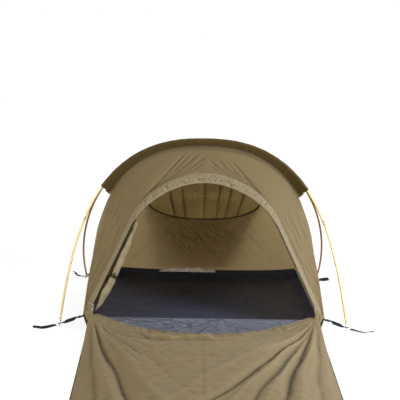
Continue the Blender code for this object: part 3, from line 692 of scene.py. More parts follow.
def leg_base(u, v):
    """The leg panel's smooth shape, with the run down from its hem and its fade at the foot."""
    across = u * 2 - 1
    edge = abs(across)
    sag = max(1 - edge**2, 0.0) ** 1.3
    start_y = LEG_START_Y - 2 * EDGE_GAP - SAG_DEPTH * sag
    start_z = SAG_EDGE_Z + SAG_CORNER_RISE * edge**4 - SAG_CORNER_DROP * edge**12
    run = v**1.15
    y = blend(start_y, leg_end_y(across), run)
    start_x = (LEG_START_HALF_WIDTH - CORNER_TUCK) * across
    x = blend(start_x, leg_half_width(y) * across, smooth_step(v / 0.06))
    end_share = max((run - 0.86) / 0.14, 0.0)
    end_fade = math.sqrt(max(1 - end_share**2, 0.0))
    body_z = LEG_WALL_HEIGHT + 1.5 * EDGE_GAP + LEG_CROWN * (1 - edge**2.6) * end_fade
    z = blend(start_z, body_z, smooth_step(v / 0.30))
    return Vector((x, y, z)), start_y - y, edge, end_fade


def fan_wrinkles(x, y):
    """Fine wrinkles that run out of the panel's two raised corners."""
    height = 0.0
    for side, _ in SIDES:
        reach, turn = from_corner(x, y, side)
        ridge = ridges(turn, 8 * reach, 4.4, 30.0 + side)
        fade = smooth_step(reach / 0.10) * (1 - smooth_step((reach - 0.28) / 0.60))
        height += 0.0050 * ridge * fade * (1 - smooth_step((turn - 55) / 25))
    return height


def hem_crease(x, y, half_width):
    """The depth at (x, y) of a fold that runs along the points of CREASE_LINE."""
    nearest = None
    depth = 0.0
    for start, end in zip(CREASE_LINE, CREASE_LINE[1:]):
        run_x = end[0] - start[0]
        run_y = end[1] - start[1]
        along = clamp(((x - start[0]) * run_x + (y - start[1]) * run_y) / (run_x**2 + run_y**2))
        away = math.hypot(x - start[0] - run_x * along, y - start[1] - run_y * along)
        if nearest is None or away < nearest:
            nearest = away
            depth = blend(start[2], end[2], along)
    return depth * sharp_hump(nearest, half_width)


def hem_creases(x, y):
    """The crease that the sagging edge pulls into the panel, and the soft roll above it."""
    roll = hem_crease(x, y - CREASE_RIDGE, 1.3 * CREASE_LINE_HALF_WIDTH)
    return 0.6 * roll - 0.4 * hem_crease(x, y, CREASE_LINE_HALF_WIDTH)


def leg_creases(x, y):
    """The sharp lines that are left in the leg panel from its packing."""
    depth = 0.0016 * sharp_hump(x + 0.014, 0.0050) * smooth_step((-0.70 - y) / 0.12)
    for line_y, line_depth, middle, half_length in PACKING_LINES:
        depth += line_depth * sharp_hump(y - line_y, 0.006) * hump(x - middle, half_length)
    return -depth


def leg_surface(u, v):
    """The leg panel: v runs from its sagging upper edge to the foot end."""
    point, from_hem, edge, end_fade = leg_base(u, v)
    x = point.x
    y = point.y
    relief = fan_folds(x, y) + fan_wrinkles(x, y) + hem_creases(x, y) + leg_creases(x, y)
    near_hem = hump(from_hem - 0.035, 0.05)
    relief += 0.0028 * ripple(x * 1.4, y + x * 0.8, 0.030, 2.0) * near_hem
    relief += 0.0030 * ripple(x, y, 0.160, 7.0) + 0.0010 * ripple(x, y, 0.034, 9.0)
    relief += 0.0016 * ridges(x * 0.35, y, 0.045, 17.0, 4)
    seam_pucker = 0.0022 * ripple(y, x, 0.013, 5.0) * hump(1 - edge, 0.07)
    relief = relief * (1 - edge**8) + seam_pucker * (1 - edge**30)
    point.z += relief * end_fade
    return point


def tray_outline(turn):
    """(x, y) of the groundsheet's rim; turn runs from 0, behind, round by the right side to 1."""
    neck_y = -CORNER_Y - TRAY_NECK
    foot_y = LEG_END_Y + FOOT_ROUNDING
    marks = (
        (0.00, (0.0, CORNER_Y)),
        (0.10, (CORNER_HALF_WIDTH, CORNER_Y)),
        (0.24, (CORNER_HALF_WIDTH, -CORNER_Y)),
        (0.26, (leg_half_width(neck_y), neck_y)),
        (0.36, (leg_half_width(foot_y), foot_y)),
    )
    half = turn if turn <= 0.5 else 1 - turn
    side = 1 if turn <= 0.5 else -1
    for (low, start), (high, end) in zip(marks, marks[1:]):
        if half <= high:
            share = (half - low) / (high - low)
            return side * blend(start[0], end[0], share), blend(start[1], end[1], share)
    across = math.cos(math.pi / 2 * (half - 0.36) / 0.14)
    y = leg_end_y(across)
    return side * leg_half_width(y) * across, y


def rim_height(x, y):
    """Height of the groundsheet's wall, which is highest at the head end."""
    if y > CORNER_Y - EDGE_GAP:
        return rear_seam_z(x) - EDGE_GAP
    share = smooth_step((y + CORNER_Y + TRAY_NECK) / TRAY_NECK)
    return blend(LEG_WALL_HEIGHT, CORNER_Z - EDGE_GAP, share)


def tray_floor(x, y):
    """Where the groundsheet's leaning wall meets its floor, below a point of its rim."""
    lean = rim_height(x, y) * WALL_LEAN
    outward = Vector((x, y - TRAY_CENTRE_Y)).normalized()
    return Vector((x - outward.x * lean, y - outward.y * lean, 0.0))


def tray_surface(u, v):
    """The groundsheet: v runs from its middle line out to the rim, by way of the floor's edge."""
    x, y = tray_outline(u)
    edge = tray_floor(x, y)
    edge.z = REAR_COVE * smooth_step((y - 0.10) / 0.22)
    bend = 0.80
    if v > bend:
        share = (v - bend) / (1 - bend)
        rounding = 0.001 * math.sin(math.pi * share)
        top = Vector((x, y, rim_height(x, y)))
        point = edge.lerp(top, share)
        point.z = max(point.z - rounding * (1 - share), 0.0004)
        return point
    middle = Vector((0.0, clamp(y, LEG_END_Y + 0.28, CORNER_Y - 0.30), 0.0))
    point = middle.lerp(Vector((edge.x, edge.y, 0.0)), v / bend)
    swell = 0.5 + 0.5 * ripple(point.x, point.y, 0.110, 3.0)
    fine = ridges(point.x, point.y + 0.5 * point.x, 0.045, 6.0)
    height = 0.0022 * swell + 0.0022 * fine
    point.z = 0.0005 + height * (1 - smooth_step((v / bend - 0.9) / 0.1))
    point.z += edge.z * smooth_step((v / bend - 0.72) / 0.28) ** 1.5
    return point


def sill_surface(u, v):
    """The low wall across the entrance: v runs from its taut top edge forward to the floor."""
    x = SILL_HALF_WIDTH * (u * 2 - 1)
    foot_z = CLOTH * 1.5 + 0.004
    z = blend(SILL_TOP_Z, foot_z, v**0.85)
    y = LEG_START_Y - SILL_RUN * v
    drift = 0.012 * ripple(x, 0.0, 0.110, 1.0)
    long_ridges = ridges(x * 0.22, y + drift, 0.030, 1.0, 4)
    short_ridges = ridges(x * 0.40 + y * 0.5, y + drift, 0.022, 8.0, 4)
    ripples = 0.0075 * long_ridges + 0.0040 * short_ridges - 0.0030
    edge_hold = math.sin(math.pi * clamp(v)) ** 0.6
    return Vector((x, y, z + max(ripples * edge_hold, -z / 3)))


def door_normal():
    """The way out of the plane that both legs of the door lie in."""
    up = Vector(DOOR_LEG_TOP) - Vector(DOOR_LEG_FOOT)
    return Vector((0, -up.z, up.y)).normalized()


def door_leg(side):
    """The foot of a door leg, the direction up it, the way in to the door, and the way out."""
    foot = Vector(DOOR_LEG_FOOT)
    top = Vector(DOOR_LEG_TOP)
    foot.x *= side
    top.x *= side
    up = (top - foot).normalized()
    outward = door_normal()
    inward = up.cross(outward).normalized() * -side
    return foot, up, inward, outward


def roll_radius(share):
    """The rolled door's radius: gathered at its foot, fullest near the tie, a point at its top."""
    along = blend(0.08, 0.95, share) ** 0.6
    return ROLL_RADIUS * blend(0.2, 1.0, math.sin(math.pi * along))


def roll_line(share):
    """The door's edge on its left leg, from the roll's foot to its top."""
    foot, up, _, _ = door_leg(-1)
    length = (Vector(DOOR_LEG_TOP) - Vector(DOOR_LEG_FOOT)).length
    return foot + up * blend(ROLL_FOOT, length, share)


def roll_centre(share):
    """The rolled door's middle line, beside that edge."""
    _, _, inward, outward = door_leg(-1)
    aside = EDGE_GAP + ZIP_WIDTH + ROLL_GAP + roll_radius(share)
    return roll_line(share) + inward * aside - outward * ROLL_SET_BACK


# Materials


def connect(node, place, value):
    """Gives an input its number or its colour, or links it where a socket is given."""
    socket = node.inputs[place]
    if isinstance(value, bpy.types.NodeSocket):
        node.id_data.links.new(value, socket)
    else:
        socket.default_value = (*value, 1.0) if isinstance(value, tuple) else value


def set_inputs(node, **inputs):
    for name, value in inputs.items():
        connect(node, name.replace("_", " "), value)


def add_node(tree, kind, settings=None, **inputs):
    """Adds a shader node with these settings and inputs."""
    node = tree.nodes.new("ShaderNode" + kind)
    for key, value in (settings or {}).items():
        setattr(node, key, value)
    set_inputs(node, **inputs)
    return node


def mix_colours(tree, share, first, second):
    """A colour between two, by the share that a socket gives."""
    mixer = add_node(tree, "Mix", {"data_type": "RGBA"})
    for place, value in ((0, share), (6, first), (7, second)):
        connect(mixer, place, value)
    return mixer.outputs[2]


def two_tones(tree, share, colour, low, high):
    """A colour that runs from low to high times its strength."""
    return mix_colours(tree, share, scaled(colour, low), scaled(colour, high))


def math_node(tree, operation, first, second):
    node = add_node(tree, "Math", {"operation": operation})
    connect(node, 0, first)
    connect(node, 1, second)
    return node.outputs[0]


def map_range(tree, value, **limits):
    """A value drawn from one range to another, each 0 to 1 where nothing is said."""
    return add_node(tree, "MapRange", Value=value, **limits).outputs["Result"]


def mix_shaders(tree, output, share, first, second):
    """Sends two shaders to the output that is named, mixed by a share."""
    mixed = add_node(tree, "MixShader")
    for place, value in enumerate((share, first.outputs[0], second.outputs[0])):
        connect(mixed, place, value)
    connect(tree.nodes[output], "Surface", mixed.outputs[0])


def add_bump(tree, height, strength, distance, **under):
    """Relief, laid over another normal where one is given."""
    bump = add_node(tree, "Bump", Strength=strength, Distance=distance, Height=height, **under)
    return bump.outputs["Normal"]


def new_material(name):
    """A material with its tree and shader, and its places along the cloth and in space."""
    material = bpy.data.materials.new(name)
    material.use_nodes = True
    tree = material.node_tree
    place = add_node(tree, "TexCoord").outputs
    return material, tree, tree.nodes["Principled BSDF"], place["UV"], place["Object"]


def noise_share(tree, coordinates, scale, detail=3.0, low=0.35, high=0.65):
    """Noise from 0 to 1, with its contrast raised."""
    texture = add_node(tree, "TexNoise", Vector=coordinates, Scale=scale, Detail=detail)
    return map_range(tree, texture.outputs["Fac"], From_Min=low, From_Max=high)


def bands(tree, coordinates, pitch, direction):
    """Parallel threads: a wave from 0 to 1 with one crest per pitch."""
    settings = {"wave_type": "BANDS", "bands_direction": direction, "wave_profile": "SIN"}
    wave = add_node(tree, "TexWave", settings, Vector=coordinates, Scale=0.31416 / pitch)
    return wave.outputs["Fac"]


def woven(tree, flat, pitch, length_share=1.0, operation="MULTIPLY"):
    """Two sets of threads that cross, from 0 in the gaps to 1 on top."""
    warp = bands(tree, flat, pitch, "X")
    weft = bands(tree, flat, pitch * length_share, "Y")
    return math_node(tree, operation, warp, weft)


def scaled(colour, factor):
    return tuple(min(part * factor, 1.0) for part in colour)


def cloth_material(
    name, colour, roughness=0.8, through=0.0, glow=CANOPY_GLOW, pitch=0.0011, crinkle=0.5, shine=0.12
):
    """Woven cloth with thread relief, soft blotches, crests painted lighter as highlights, creases
    painted darker as shade and, if thin, light through it.
    """
    material, tree, shader, flat, space = new_material(name)
    blotches = noise_share(tree, space, 7.0)
    flecks = noise_share(tree, space, 160.0, 2.0, 0.30, 0.70)
    weave = woven(tree, flat, pitch)
    # Painted light and shade: crests painted lighter from the pointiness, and ridges painted lighter
    # and creases darker from the fold attribute
    pointiness = add_node(tree, "NewGeometry").outputs["Pointiness"]
    painted_crest_highlight = map_range(tree, pointiness, From_Min=0.505, From_Max=0.56, To_Max=0.5)
    fold = add_node(tree, "Attribute", {"attribute_name": "fold"}).outputs["Fac"]
    crease = map_range(tree, fold, From_Min=0.5)
    ridge = map_range(tree, fold, From_Min=0.5, From_Max=0.0, To_Max=0.7)
    tone = two_tones(tree, blotches, colour, 0.91, 1.08)
    tone = mix_colours(tree, flecks, tone, scaled(colour, 1.02))
    tone = mix_colours(tree, weave, scaled(colour, 0.90), tone)
    for share, factor in ((painted_crest_highlight, 1.25), (crease, 0.42), (ridge, 1.22)):
        tone = mix_colours(tree, share, tone, scaled(colour, factor))
    crinkles = add_node(tree, "TexNoise", Vector=space, Scale=62.0, Detail=4.0, Roughness=0.6)
    big = add_bump(tree, crinkles.outputs["Fac"], crinkle, 0.0014)
    bump = add_bump(tree, weave, 0.35, 0.0003, Normal=big)
    limits = {"To_Min": max(roughness - 0.07, 0.05), "To_Max": min(roughness + 0.07, 1.0)}
    rough = map_range(tree, blotches, **limits)
    set_inputs(shader, Base_Color=tone, Roughness=rough, Normal=bump)
    set_inputs(shader, Specular_IOR_Level=shine, Sheen_Weight=0.06, Sheen_Roughness=0.45)
    if through > 0:
        light = two_tones(tree, weave, glow, 0.92, 1.0)
        # The light through the cloth is painted darker in creases as well, as shade
        light = mix_colours(tree, crease, light, scaled(glow, 0.50))
        behind = add_node(tree, "BsdfTranslucent", Color=light, Normal=bump)
        mix_shaders(tree, "Material Output", through, shader, behind)
    return material


def net_material(name, colour, share):
    """Insect net: fine threads with holes between them."""
    material, tree, shader, flat, space = new_material(name)
    thread = woven(tree, flat, 0.0008, operation="MAXIMUM")
    solid = math_node(tree, "GREATER_THAN", thread, 1.0 - share)
    tint = two_tones(tree, noise_share(tree, space, 30.0), colour, 1.0, 1.3)
    set_inputs(shader, Base_Color=tint, Roughness=0.7)
    mix_shaders(tree, "Material Output", solid, add_node(tree, "BsdfTransparent"), shader)
    return material


def webbing_material(name, colour, pitch=0.0016):
    """Woven strap: ribs across it, a finer rib along it and lighter rubbed patches."""
    material, tree, shader, flat, space = new_material(name)
    weave = woven(tree, flat, pitch, 1.4)
    tone = two_tones(tree, weave, colour, 0.7, 1.35)
    tone = mix_colours(tree, noise_share(tree, space, 45.0), tone, scaled(colour, 1.5))
    bump = add_bump(tree, weave, 0.7, 0.0005)
    set_inputs(shader, Base_Color=tone, Normal=bump, Roughness=0.62, Specular_IOR_Level=0.12)
    return material


def metal_material(name, colour, roughness, brushed=0.0):
    """Metal with fine scratches and a little uneven polish."""
    material, tree, shader, _, space = new_material(name)
    smears = noise_share(tree, space, 6.0)
    scratches = noise_share(tree, space, 900.0, 2.0, 0.45, 0.75)
    tone = two_tones(tree, smears, colour, 0.92, 1.04)
    tone = mix_colours(tree, scratches, tone, scaled(colour, 0.88))
    rough = map_range(tree, smears, To_Min=roughness - 0.05, To_Max=roughness + 0.08)
    bump = add_bump(tree, scratches, 0.02 + brushed, 0.00005)
    set_inputs(shader, Base_Color=tone, Roughness=rough, Normal=bump, Metallic=1.0)
    return material


def plastic_material(name, colour, shine):
    """Moulded plastic with a fine texture and lighter, rubbed patches."""
    material, tree, shader, _, space = new_material(name)
    grain = noise_share(tree, space, 700.0, 2.0)
    tone = two_tones(tree, noise_share(tree, space, 60.0), colour, 1.0, 1.8)
    bump = add_bump(tree, grain, 0.25, 0.0002)
    set_inputs(shader, Base_Color=tone, Normal=bump, Roughness=0.42, Specular_IOR_Level=shine)
    return material


MATERIALS = {
    "canopy": cloth_material("canopy_cloth", CANOPY, through=0.42, crinkle=0.45),
    "hood": cloth_material("hood_cloth", CANOPY, through=0.44, glow=HOOD_GLOW),
    "hem": cloth_material("hem_cloth", CANOPY_HEM, through=0.10, crinkle=0.7),
    "leg": cloth_material("leg_cloth", LEG_CLOTH, through=0.12, crinkle=0.6),
    "roll": cloth_material("roll_cloth", CANOPY_HEM, through=0.10, crinkle=0.7),
    # The zip's own tan tape and coil, and the same painted a deep brown as shade for its left run
    "dark_tape": cloth_material("painted_shade_zip_tape", (0.030, 0.020, 0.009), pitch=0.0008),
    "tan_tape": cloth_material("tan_zip_tape", scaled(CANOPY, 0.75), pitch=0.0008),
    "sleeve": cloth_material("sleeve_cloth", SLEEVE),
    "floor": cloth_material("floor_cloth", FLOOR_CLOTH, roughness=0.5, crinkle=0.45, shine=0.22),
    # The sill's cloth, partly painted lighter for the light it catches
    "sill": cloth_material("sill_cloth", SILL_CLOTH, roughness=0.32, crinkle=0.8, shine=0.55),
    "seam_tape": cloth_material("seam_tape", (0.86, 0.77, 0.73), roughness=0.30, shine=0.6),
    "binding": cloth_material("binding_tape", BINDING, roughness=0.7, pitch=0.0009),
    "net": net_material("insect_net", (0.070, 0.050, 0.018), 0.11),
    "webbing": webbing_material("black_webbing", WEBBING_COLOUR),
    "pull_tape": webbing_material("pull_tape", (0.44, 0.34, 0.16), 0.0010),
    "tan_thread": webbing_material("tan_thread", THREAD_TAN, 0.0006),
    "dark_thread": webbing_material("dark_thread", THREAD_DARK, 0.0006),
    "cord": webbing_material("shock_cord", (0.05, 0.05, 0.05), 0.0012),
    "pole": metal_material("pole_tube", (0.66, 0.46, 0.17), 0.42),
    # The rear poles are the same gold tube as the front ones, painted a deeper brown as shade
    "painted_shade_rear_pole": metal_material("painted_shade_rear_tube", (0.27, 0.135, 0.045), 0.34),
    "fitting": metal_material("pole_fitting", (0.62, 0.60, 0.56), 0.34, 0.1),
    "zip_metal": metal_material("zip_metal", (0.24, 0.21, 0.16), 0.36, 0.1),
    "eyelet": metal_material("eyelet_metal", (0.66, 0.63, 0.57), 0.25),
    "plastic": plastic_material("black_plastic", (0.010, 0.010, 0.012), 0.2),
    "toggle": plastic_material("dark_toggle", (0.030, 0.024, 0.010), 0.15),
    "dark_coil": plastic_material("painted_shade_zip_coil", (0.020, 0.016, 0.010), 0.2),
    "tan_coil": plastic_material("tan_zip_coil", scaled(CANOPY, 0.55), 0.2),
}


# Mesh builders


def finish_piece(obj, material, nodes=(), slot="canopy_cloth", body="tent"):
    """Gives a piece its material, the CAD nodes that it stands for and its body; its slot is not used.
    """
    obj.data.materials.clear()
    obj.data.materials.append(MATERIALS[material])
    if body:
        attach(obj, body)
    if nodes:
        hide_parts(*nodes)


def object_from(name, vertices, faces, uvs=None):
    """A smooth-shaded mesh object; uvs holds one pair for each vertex."""
    mesh = bpy.data.meshes.new(name)
    mesh.from_pydata(vertices, [], faces)
    if uvs:
        layer = mesh.uv_layers.new(name="flat")
        for loop in mesh.loops:
            layer.data[loop.index].uv = uvs[loop.vertex_index]
    mesh.attributes.new("fold", "FLOAT", "POINT")
    set_painted_shade(mesh, [0.5] * len(vertices))
    mesh.shade_smooth()
    mesh.update()
    return show(bpy.data.objects.new(name, mesh))


def show(obj):
    bpy.context.scene.collection.objects.link(obj)
    return obj


def set_painted_shade(mesh, depths):
    """Stores on each point its painted light and shade: 0 painted lighter, as on crests, and 1 painted
    darker, as in creases.
    """
    mesh.attributes["fold"].data.foreach_set("value", depths)


def shade_creases(mesh, columns, rows, reach, deepest):
    """Works out the painted shade of a grid's folds from the points that lie within reach of each:
    darker in creases, lighter on crests.
    """
    wide = columns + 1
    points = [vertex.co.copy() for vertex in mesh.vertices]
    middle = rows // 2 * wide + columns // 2
    apart = [max((points[middle + stride] - points[middle]).length, 0.0002) for stride in (1, wide)]
    reach_u, reach_v = (max(round(reach / step), 1) for step in apart)
    depths = []
    for index, vertex in enumerate(mesh.vertices):
        j, i = divmod(index, wide)
        around = []
        if reach_u <= i <= columns - reach_u:
            around += [points[index - reach_u], points[index + reach_u]]
        if reach_v <= j <= rows - reach_v:
            around += [points[index - reach_v * wide], points[index + reach_v * wide]]
        depth = 0.0
        if around:
            depth = (sum(around, Vector()) / len(around) - points[index]).dot(vertex.normal)
        depths.append(clamp(0.5 + depth / (2 * deepest)))
    set_painted_shade(mesh, depths)


def weld(mesh):
    """Joins the first and last columns of a sheet that closes on itself."""
    bm = bmesh.new()
    bm.from_mesh(mesh)
    bmesh.ops.remove_doubles(bm, verts=bm.verts, dist=0.00002)
    bm.to_mesh(mesh)
    bm.free()


def make_cloth(
    name, surface, columns, rows, outward, relief=None, thickness=SHEET, rounded=False, crease=CREASE
):
    """A sheet of cloth over surface(u, v), raised along its normals by relief(u, v, point)."""
    grid = [[surface(u, v) for u in shares(columns)] for v in shares(rows)]
    vertices = [point for row in grid for point in row]
    u_run = runs(grid[len(grid) // 2])
    v_run = runs([row[len(row) // 2] for row in grid])
    wide = columns + 1
    faces = []
    for j in range(rows):
        for first in range(j * wide, j * wide + columns):
            faces.append((first, first + 1, first + wide + 1, first + wide))
    corners = [vertices[index] for index in faces[len(faces) // 2 + columns // 2]]
    normal = (corners[2] - corners[0]).cross(corners[3] - corners[1])
    if normal.dot(Vector(outward)) < 0:
        faces = [tuple(reversed(face)) for face in faces]
    obj = object_from(name, vertices, faces, [(along, down) for down in v_run for along in u_run])
    mesh = obj.data
    if relief:
        normals = [vertex.normal.copy() for vertex in mesh.vertices]
        for index, vertex in enumerate(mesh.vertices):
            j, i = divmod(index, wide)
            vertex.co += normals[index] * relief(i / columns, j / rows, vertex.co.copy())
        mesh.update()
    shade_creases(mesh, columns, rows, *crease)
    if rounded:
        weld(mesh)
    solidify = obj.modifiers.new("thickness", "SOLIDIFY")
    solidify.thickness = thickness
    solidify.offset = 0.0
    return obj


def swept(name, rings, closed, uvs=None):
    """The skin over rings of points, capped at both ends unless it closes on itself."""
    count = len(rings)
    size = len(rings[0])
    faces = []
    for index in range(count if closed else count - 1):
        here = index * size
        there = (index + 1) % count * size
        for k in range(size):
            after = (k + 1) % size
            faces.append((here + k, here + after, there + after, there + k))
    if not closed:
        faces.append(tuple(reversed(range(size))))
        faces.append(tuple(range((count - 1) * size, count * size)))
    return object_from(name, [point for ring in rings for point in ring], faces, uvs)


def directions(points, closed):
    """The way that a line runs at each of its points."""
    last = len(points) - 1
    result = []
    for index in range(len(points)):
        ahead = points[(index + 1) % len(points)] if closed else points[min(index + 1, last)]
        behind = points[index - 1] if closed else points[max(index - 1, 0)]
        result.append((ahead - behind).normalized())
    return result


def ribbon(name, points, normals, size, closed=False):
    """A flat strap with rounded edges along points; its face looks along its normal at each."""
    if isinstance(normals, Vector):
        normals = [normals] * len(points)
    half, edge = (length / 2 for length in size)
    inner = max(half - edge, half * 0.6)
    section = [(-half, 0.0), (-inner, edge), (-inner / 3, edge), (inner / 3, edge), (inner, edge)]
    section += [(-across, -lift) for across, lift in section]
    rings, uvs = [], []
    for point, along, normal, run in zip(points, directions(points, closed), normals, runs(points)):
        side = along.cross(normal).normalized()
        up = side.cross(along)
        rings.append([point + side * across + up * lift for across, lift in section])
        uvs += [(run, across) for across, _ in section]
    return swept(name, rings, closed, uvs)


def tube(name, points, radii, sides=8, closed=False):
    """A round tube along points, with one radius or with its own radius at each."""
    if isinstance(radii, float):
        radii = [radii] * len(points)
    rings, uvs = [], []
    up = Vector((0.13, 0.31, 0.94)).normalized()
    for point, along, radius, run in zip(points, directions(points, closed), radii, runs(points)):
        side = along.cross(up).normalized()
        up = side.cross(along)
        rings.append([point + arc_place(side, up, turn) * radius for turn in circle(sides)])
        uvs += [(run, turn * radius) for turn in circle(sides)]
    return swept(name, rings, closed, uvs)


def frame_at(origin, x_axis, z_axis):
    """The matrix of a local frame with this X axis, and its Z axis as near z_axis as it can be."""
    x = Vector(x_axis).normalized()
    y = Vector(z_axis).cross(x).normalized()
    matrix = Matrix((x, y, x.cross(y))).transposed().to_4x4()
    matrix.translation = origin
    return matrix


def resample(points, step):
    """The same line with its points a step apart."""
    result = [points[0].copy()]
    left = step
    for here, there in zip(points, points[1:]):
        length = (there - here).length
        done = 0.0
        while length - done >= left:
            done += left
            result.append(here.lerp(there, done / length))
            left = step
        left -= length - done
    return result


def stitches(name, lines, material, slot, pitch=0.0046, length=0.0032):
    """Rows of machine stitches; each line is its points and the way that its cloth looks."""
    vertices, faces = [], []
    for points, normal in lines:
        marks = resample(points, pitch)
        for here, there in zip(marks, marks[1:]):
            along = (there - here).normalized()
            up = normal.normalized()
            side = along.cross(up).normalized()
            middle = (here + there) / 2
            first = len(vertices)
            vertices.append(middle - along * length / 2)
            for place in (-0.3, 0.3):
                for around in (side, up, -side, -up):
                    vertices.append(middle + along * length * place + around * STITCH_RADIUS)
            vertices.append(middle + along * length / 2)
            for k in range(first + 1, first + 5):
                after = k + 1 if k < first + 4 else first + 1
                faces.append((first, after, k))
                faces.append((k, after, after + 4, k + 4))
                faces.append((k + 4, after + 4, first + 9))
    finish_piece(object_from(name, vertices, faces), material, slot=slot)


# Canopy


def soft_sway(point):
    """Broad and fine unevenness of taut cloth."""
    return 0.0022 * crumple(point, 0.130, 2.0) + 0.0007 * crumple(point, 0.038, 5.0)


def front_fold_lines(side):
    """The start, the end and the depth of each fold that rises from the hem on one side."""
    lines = []
    for x, degrees, length, depth in FRONT_FOLDS:
        reach = length if side < 0 else length * FOLDS_ON_RIGHT
        slope = math.radians(degrees)
        start = (side * x, DOOR_CROWN[2] + HEM_BAND_TOP - 1.55 * x * x)
        end = (start[0] - side * reach * math.cos(slope), start[1] + reach * math.sin(slope))
        lines.append((start, end, depth))
    return lines


def front_relief(u, v, point):
    """Tension folds, gathers at the hem and soft streaks down the sides of the front panel."""
    s = u * 2 - 1
    from_hem = (1 - v) * front_width(s)
    lift = 0.0
    for start, end, depth in front_fold_lines(1 if s > 0 else -1):
        lift -= depth * segment_fold(point.x, point.z, start, end, FRONT_FOLD_HALF_WIDTH)
    gathers = ripple(s * 0.8, from_hem * 0.35, 0.014, 3.0)
    lift += 0.0022 * gathers * math.exp(-from_hem / 0.030)
    side_share = smooth_step((abs(s) - 0.45) / 0.15)
    streaks = ripple(from_hem, s * 0.25, 0.022, 11.0)
    lift += 0.0026 * streaks * side_share * smooth_step(from_hem / 0.02) + soft_sway(point)
    return lift * math.sin(math.pi * clamp(v)) ** 0.35


def hem_reach(s):
    """How far the hem covers the zip: all of it round the crown, half of it on the legs."""
    at_crown, on_leg = HEM_PAST_ZIP
    return blend(at_crown, on_leg, smooth_step((abs(s) - 0.47) / 0.06))


def band_width(s):
    """Width of the gathered hem round the door."""
    return blend(HEM_BAND_TOP, HEM_BAND_SIDE, smooth_step(abs(s) / 0.55))


def hem_surface(u, v):
    """The gathered hem: v runs from its outer edge in to the door arch."""
    s = u * 2 - 1
    share = 1 + (hem_reach(s) - (band_width(s) + hem_reach(s)) * (1 - v)) / front_width(s)
    return front_surface(u, share)


def hem_relief(u, v, point):
    """Short slanting puckers over the whole band."""
    s = u * 2 - 1
    run = s * 0.80
    across = (1 - v) * band_width(s)
    warp = 0.010 * ripple(run, across, 0.035, 41.0)
    lean = 1.1 + 0.9 * ripple(run, 0.0, 0.07, 33.0)
    slant = run + warp - lean * across * math.copysign(1, s)
    pucker = ridges(slant, across * 0.7, GATHER_PITCH, 21.0, 2)
    small = ridges(run + 0.8 * across + warp, across, GATHER_PITCH * 0.55, 27.0, 2)
    pits = max(ripple(run, across, 0.026, 51.0) - 0.50, 0.0)
    patchy = 0.65 + 0.45 * ripple(run, across, 0.050, 35.0)
    swell = math.sin(math.pi * clamp(v * 0.94 + 0.03)) ** 0.6
    top = blend(1.0, 0.45, smooth_step((abs(s) - 0.2) / 0.35))
    body = 0.70 * pucker * patchy + 0.22 * small - 1.3 * pits
    return 0.0016 + GATHER_HEIGHT * (body + 0.25) * swell * top


def make_front():
    panel = make_cloth("front_panel_cloth", front_surface, 420, 52, (0, -1, 0.5), front_relief)
    finish_piece(panel, "canopy", ["front_panel"])
    hem = make_cloth("door_hem", hem_surface, 700, 14, (0, -1, 0.5), hem_relief, crease=HEM_CREASE)
    finish_piece(hem, "hem")


def side_relief(u, v, point):
    lift = soft_sway(point)
    across = u * 2 - 1
    for middle, height in ((-0.55, 0.003), (-0.2, -0.0025), (0.25, 0.003), (0.6, -0.0025)):
        lift += height * hump(across - middle * (1 - v), 0.10) * v
    return lift * (math.sin(math.pi * v) * (1 - across**2)) ** 0.35


def make_sides():
    for side, name in SIDES:
        surface = side_surface(side)
        panel = make_cloth(f"{name}_side_cloth", surface, 60, 90, (side, 0, 0.4), side_relief)
        finish_piece(panel, "canopy", [f"{name}_side_panel"])


def rear_relief(u, v, point):
    """Folds from the window's lower corners to the shell's corners, and puckers below it."""
    lift = 1.4 * soft_sway(point)
    for sign in (-1, 1):
        for start_x, end_x, height in REAR_FOLDS:
            start = (sign * start_x, 0.335)
            end = (sign * end_x, 0.075)
            lift += height * segment_fold(point.x, point.z, start, end, 0.011)
    from_window = (1 - v) * 0.25
    below = smooth_step((VENT_CENTRE_Z - point.z) / 0.06)
    puckers = ridges(u * 1.6, from_window * 0.35, 0.020, 15.0, 2)
    lift += 0.0090 * puckers * math.exp(-from_window / 0.034) * below
    slanting = ridges(point.x + point.z * 0.9, (point.x - point.z) * 0.35, 0.030, 19.0)
    lift += 0.0075 * slanting * hump(point.z - 0.24, 0.11) * hump(point.x, 0.22)
    lift += 0.0014 * ridges(point.x, point.z, 0.060, 23.0)
    return lift * math.sin(math.pi * clamp(v * 0.97 + 0.015)) ** 0.35


def make_rear():
    outward = (0, 1, 0.5)
    form = {"rounded": True, "crease": REAR_CREASE}
    wall = make_cloth("rear_wall_cloth", rear_surface, 300, 48, outward, rear_relief, **form)
    finish_piece(wall, "canopy", ["rear_wall"])
    form = {"rounded": True, "thickness": NET_THICKNESS}
    net = make_cloth("vent_net_cloth", net_surface, 96, 20, outward, **form)
    finish_piece(net, "net", ["vent_net"], "insect_net")
    normal = Vector((0, 0.87, 0.49))
    points = [on_wall(*vent_edge(share), 1) for share in shares(140)[:-1]]
    binding = ribbon("window_binding", points, normal, WINDOW_BINDING, closed=True)
    finish_piece(binding, "binding", slot="binding_tape")
    rows = [([point + normal * row * 0.0016 for point in points], normal) for row in (-1, 1)]
    stitches("window_stitches", rows, "tan_thread", "binding_tape")
    tape = make_cloth("seam_tape", seam_tape_surface, 90, 8, (0, -0.5, 0.8), thickness=0.0006)
    finish_piece(tape, "seam_tape")


def seam_tape_surface(u, v):
    """The loose end of the sealing tape, which stands up over the rear edge of the floor."""
    x = blend(*SEAM_TAPE_ENDS, u)
    height = SEAM_TAPE_HEIGHT * (0.10 + 0.90 * math.sin(math.pi * u) ** 0.6)
    height *= 1 + 0.30 * ripple(x, 0.0, 0.040, 9.0)
    lean = 0.0030 * ripple(x, v * 0.01, 0.022, 5.0) * v
    y = CORNER_Y - 0.004 - 0.010 * v + lean
    return Vector((x, y, rear_seam_z(x) - 0.006 + height * (1 - v)))


def hood_relief(u, v, point):
    edge = math.sin(math.pi * u) * math.sin(math.pi * clamp(v * 0.9 + 0.05))
    return soft_sway(point) * clamp(edge * 2)


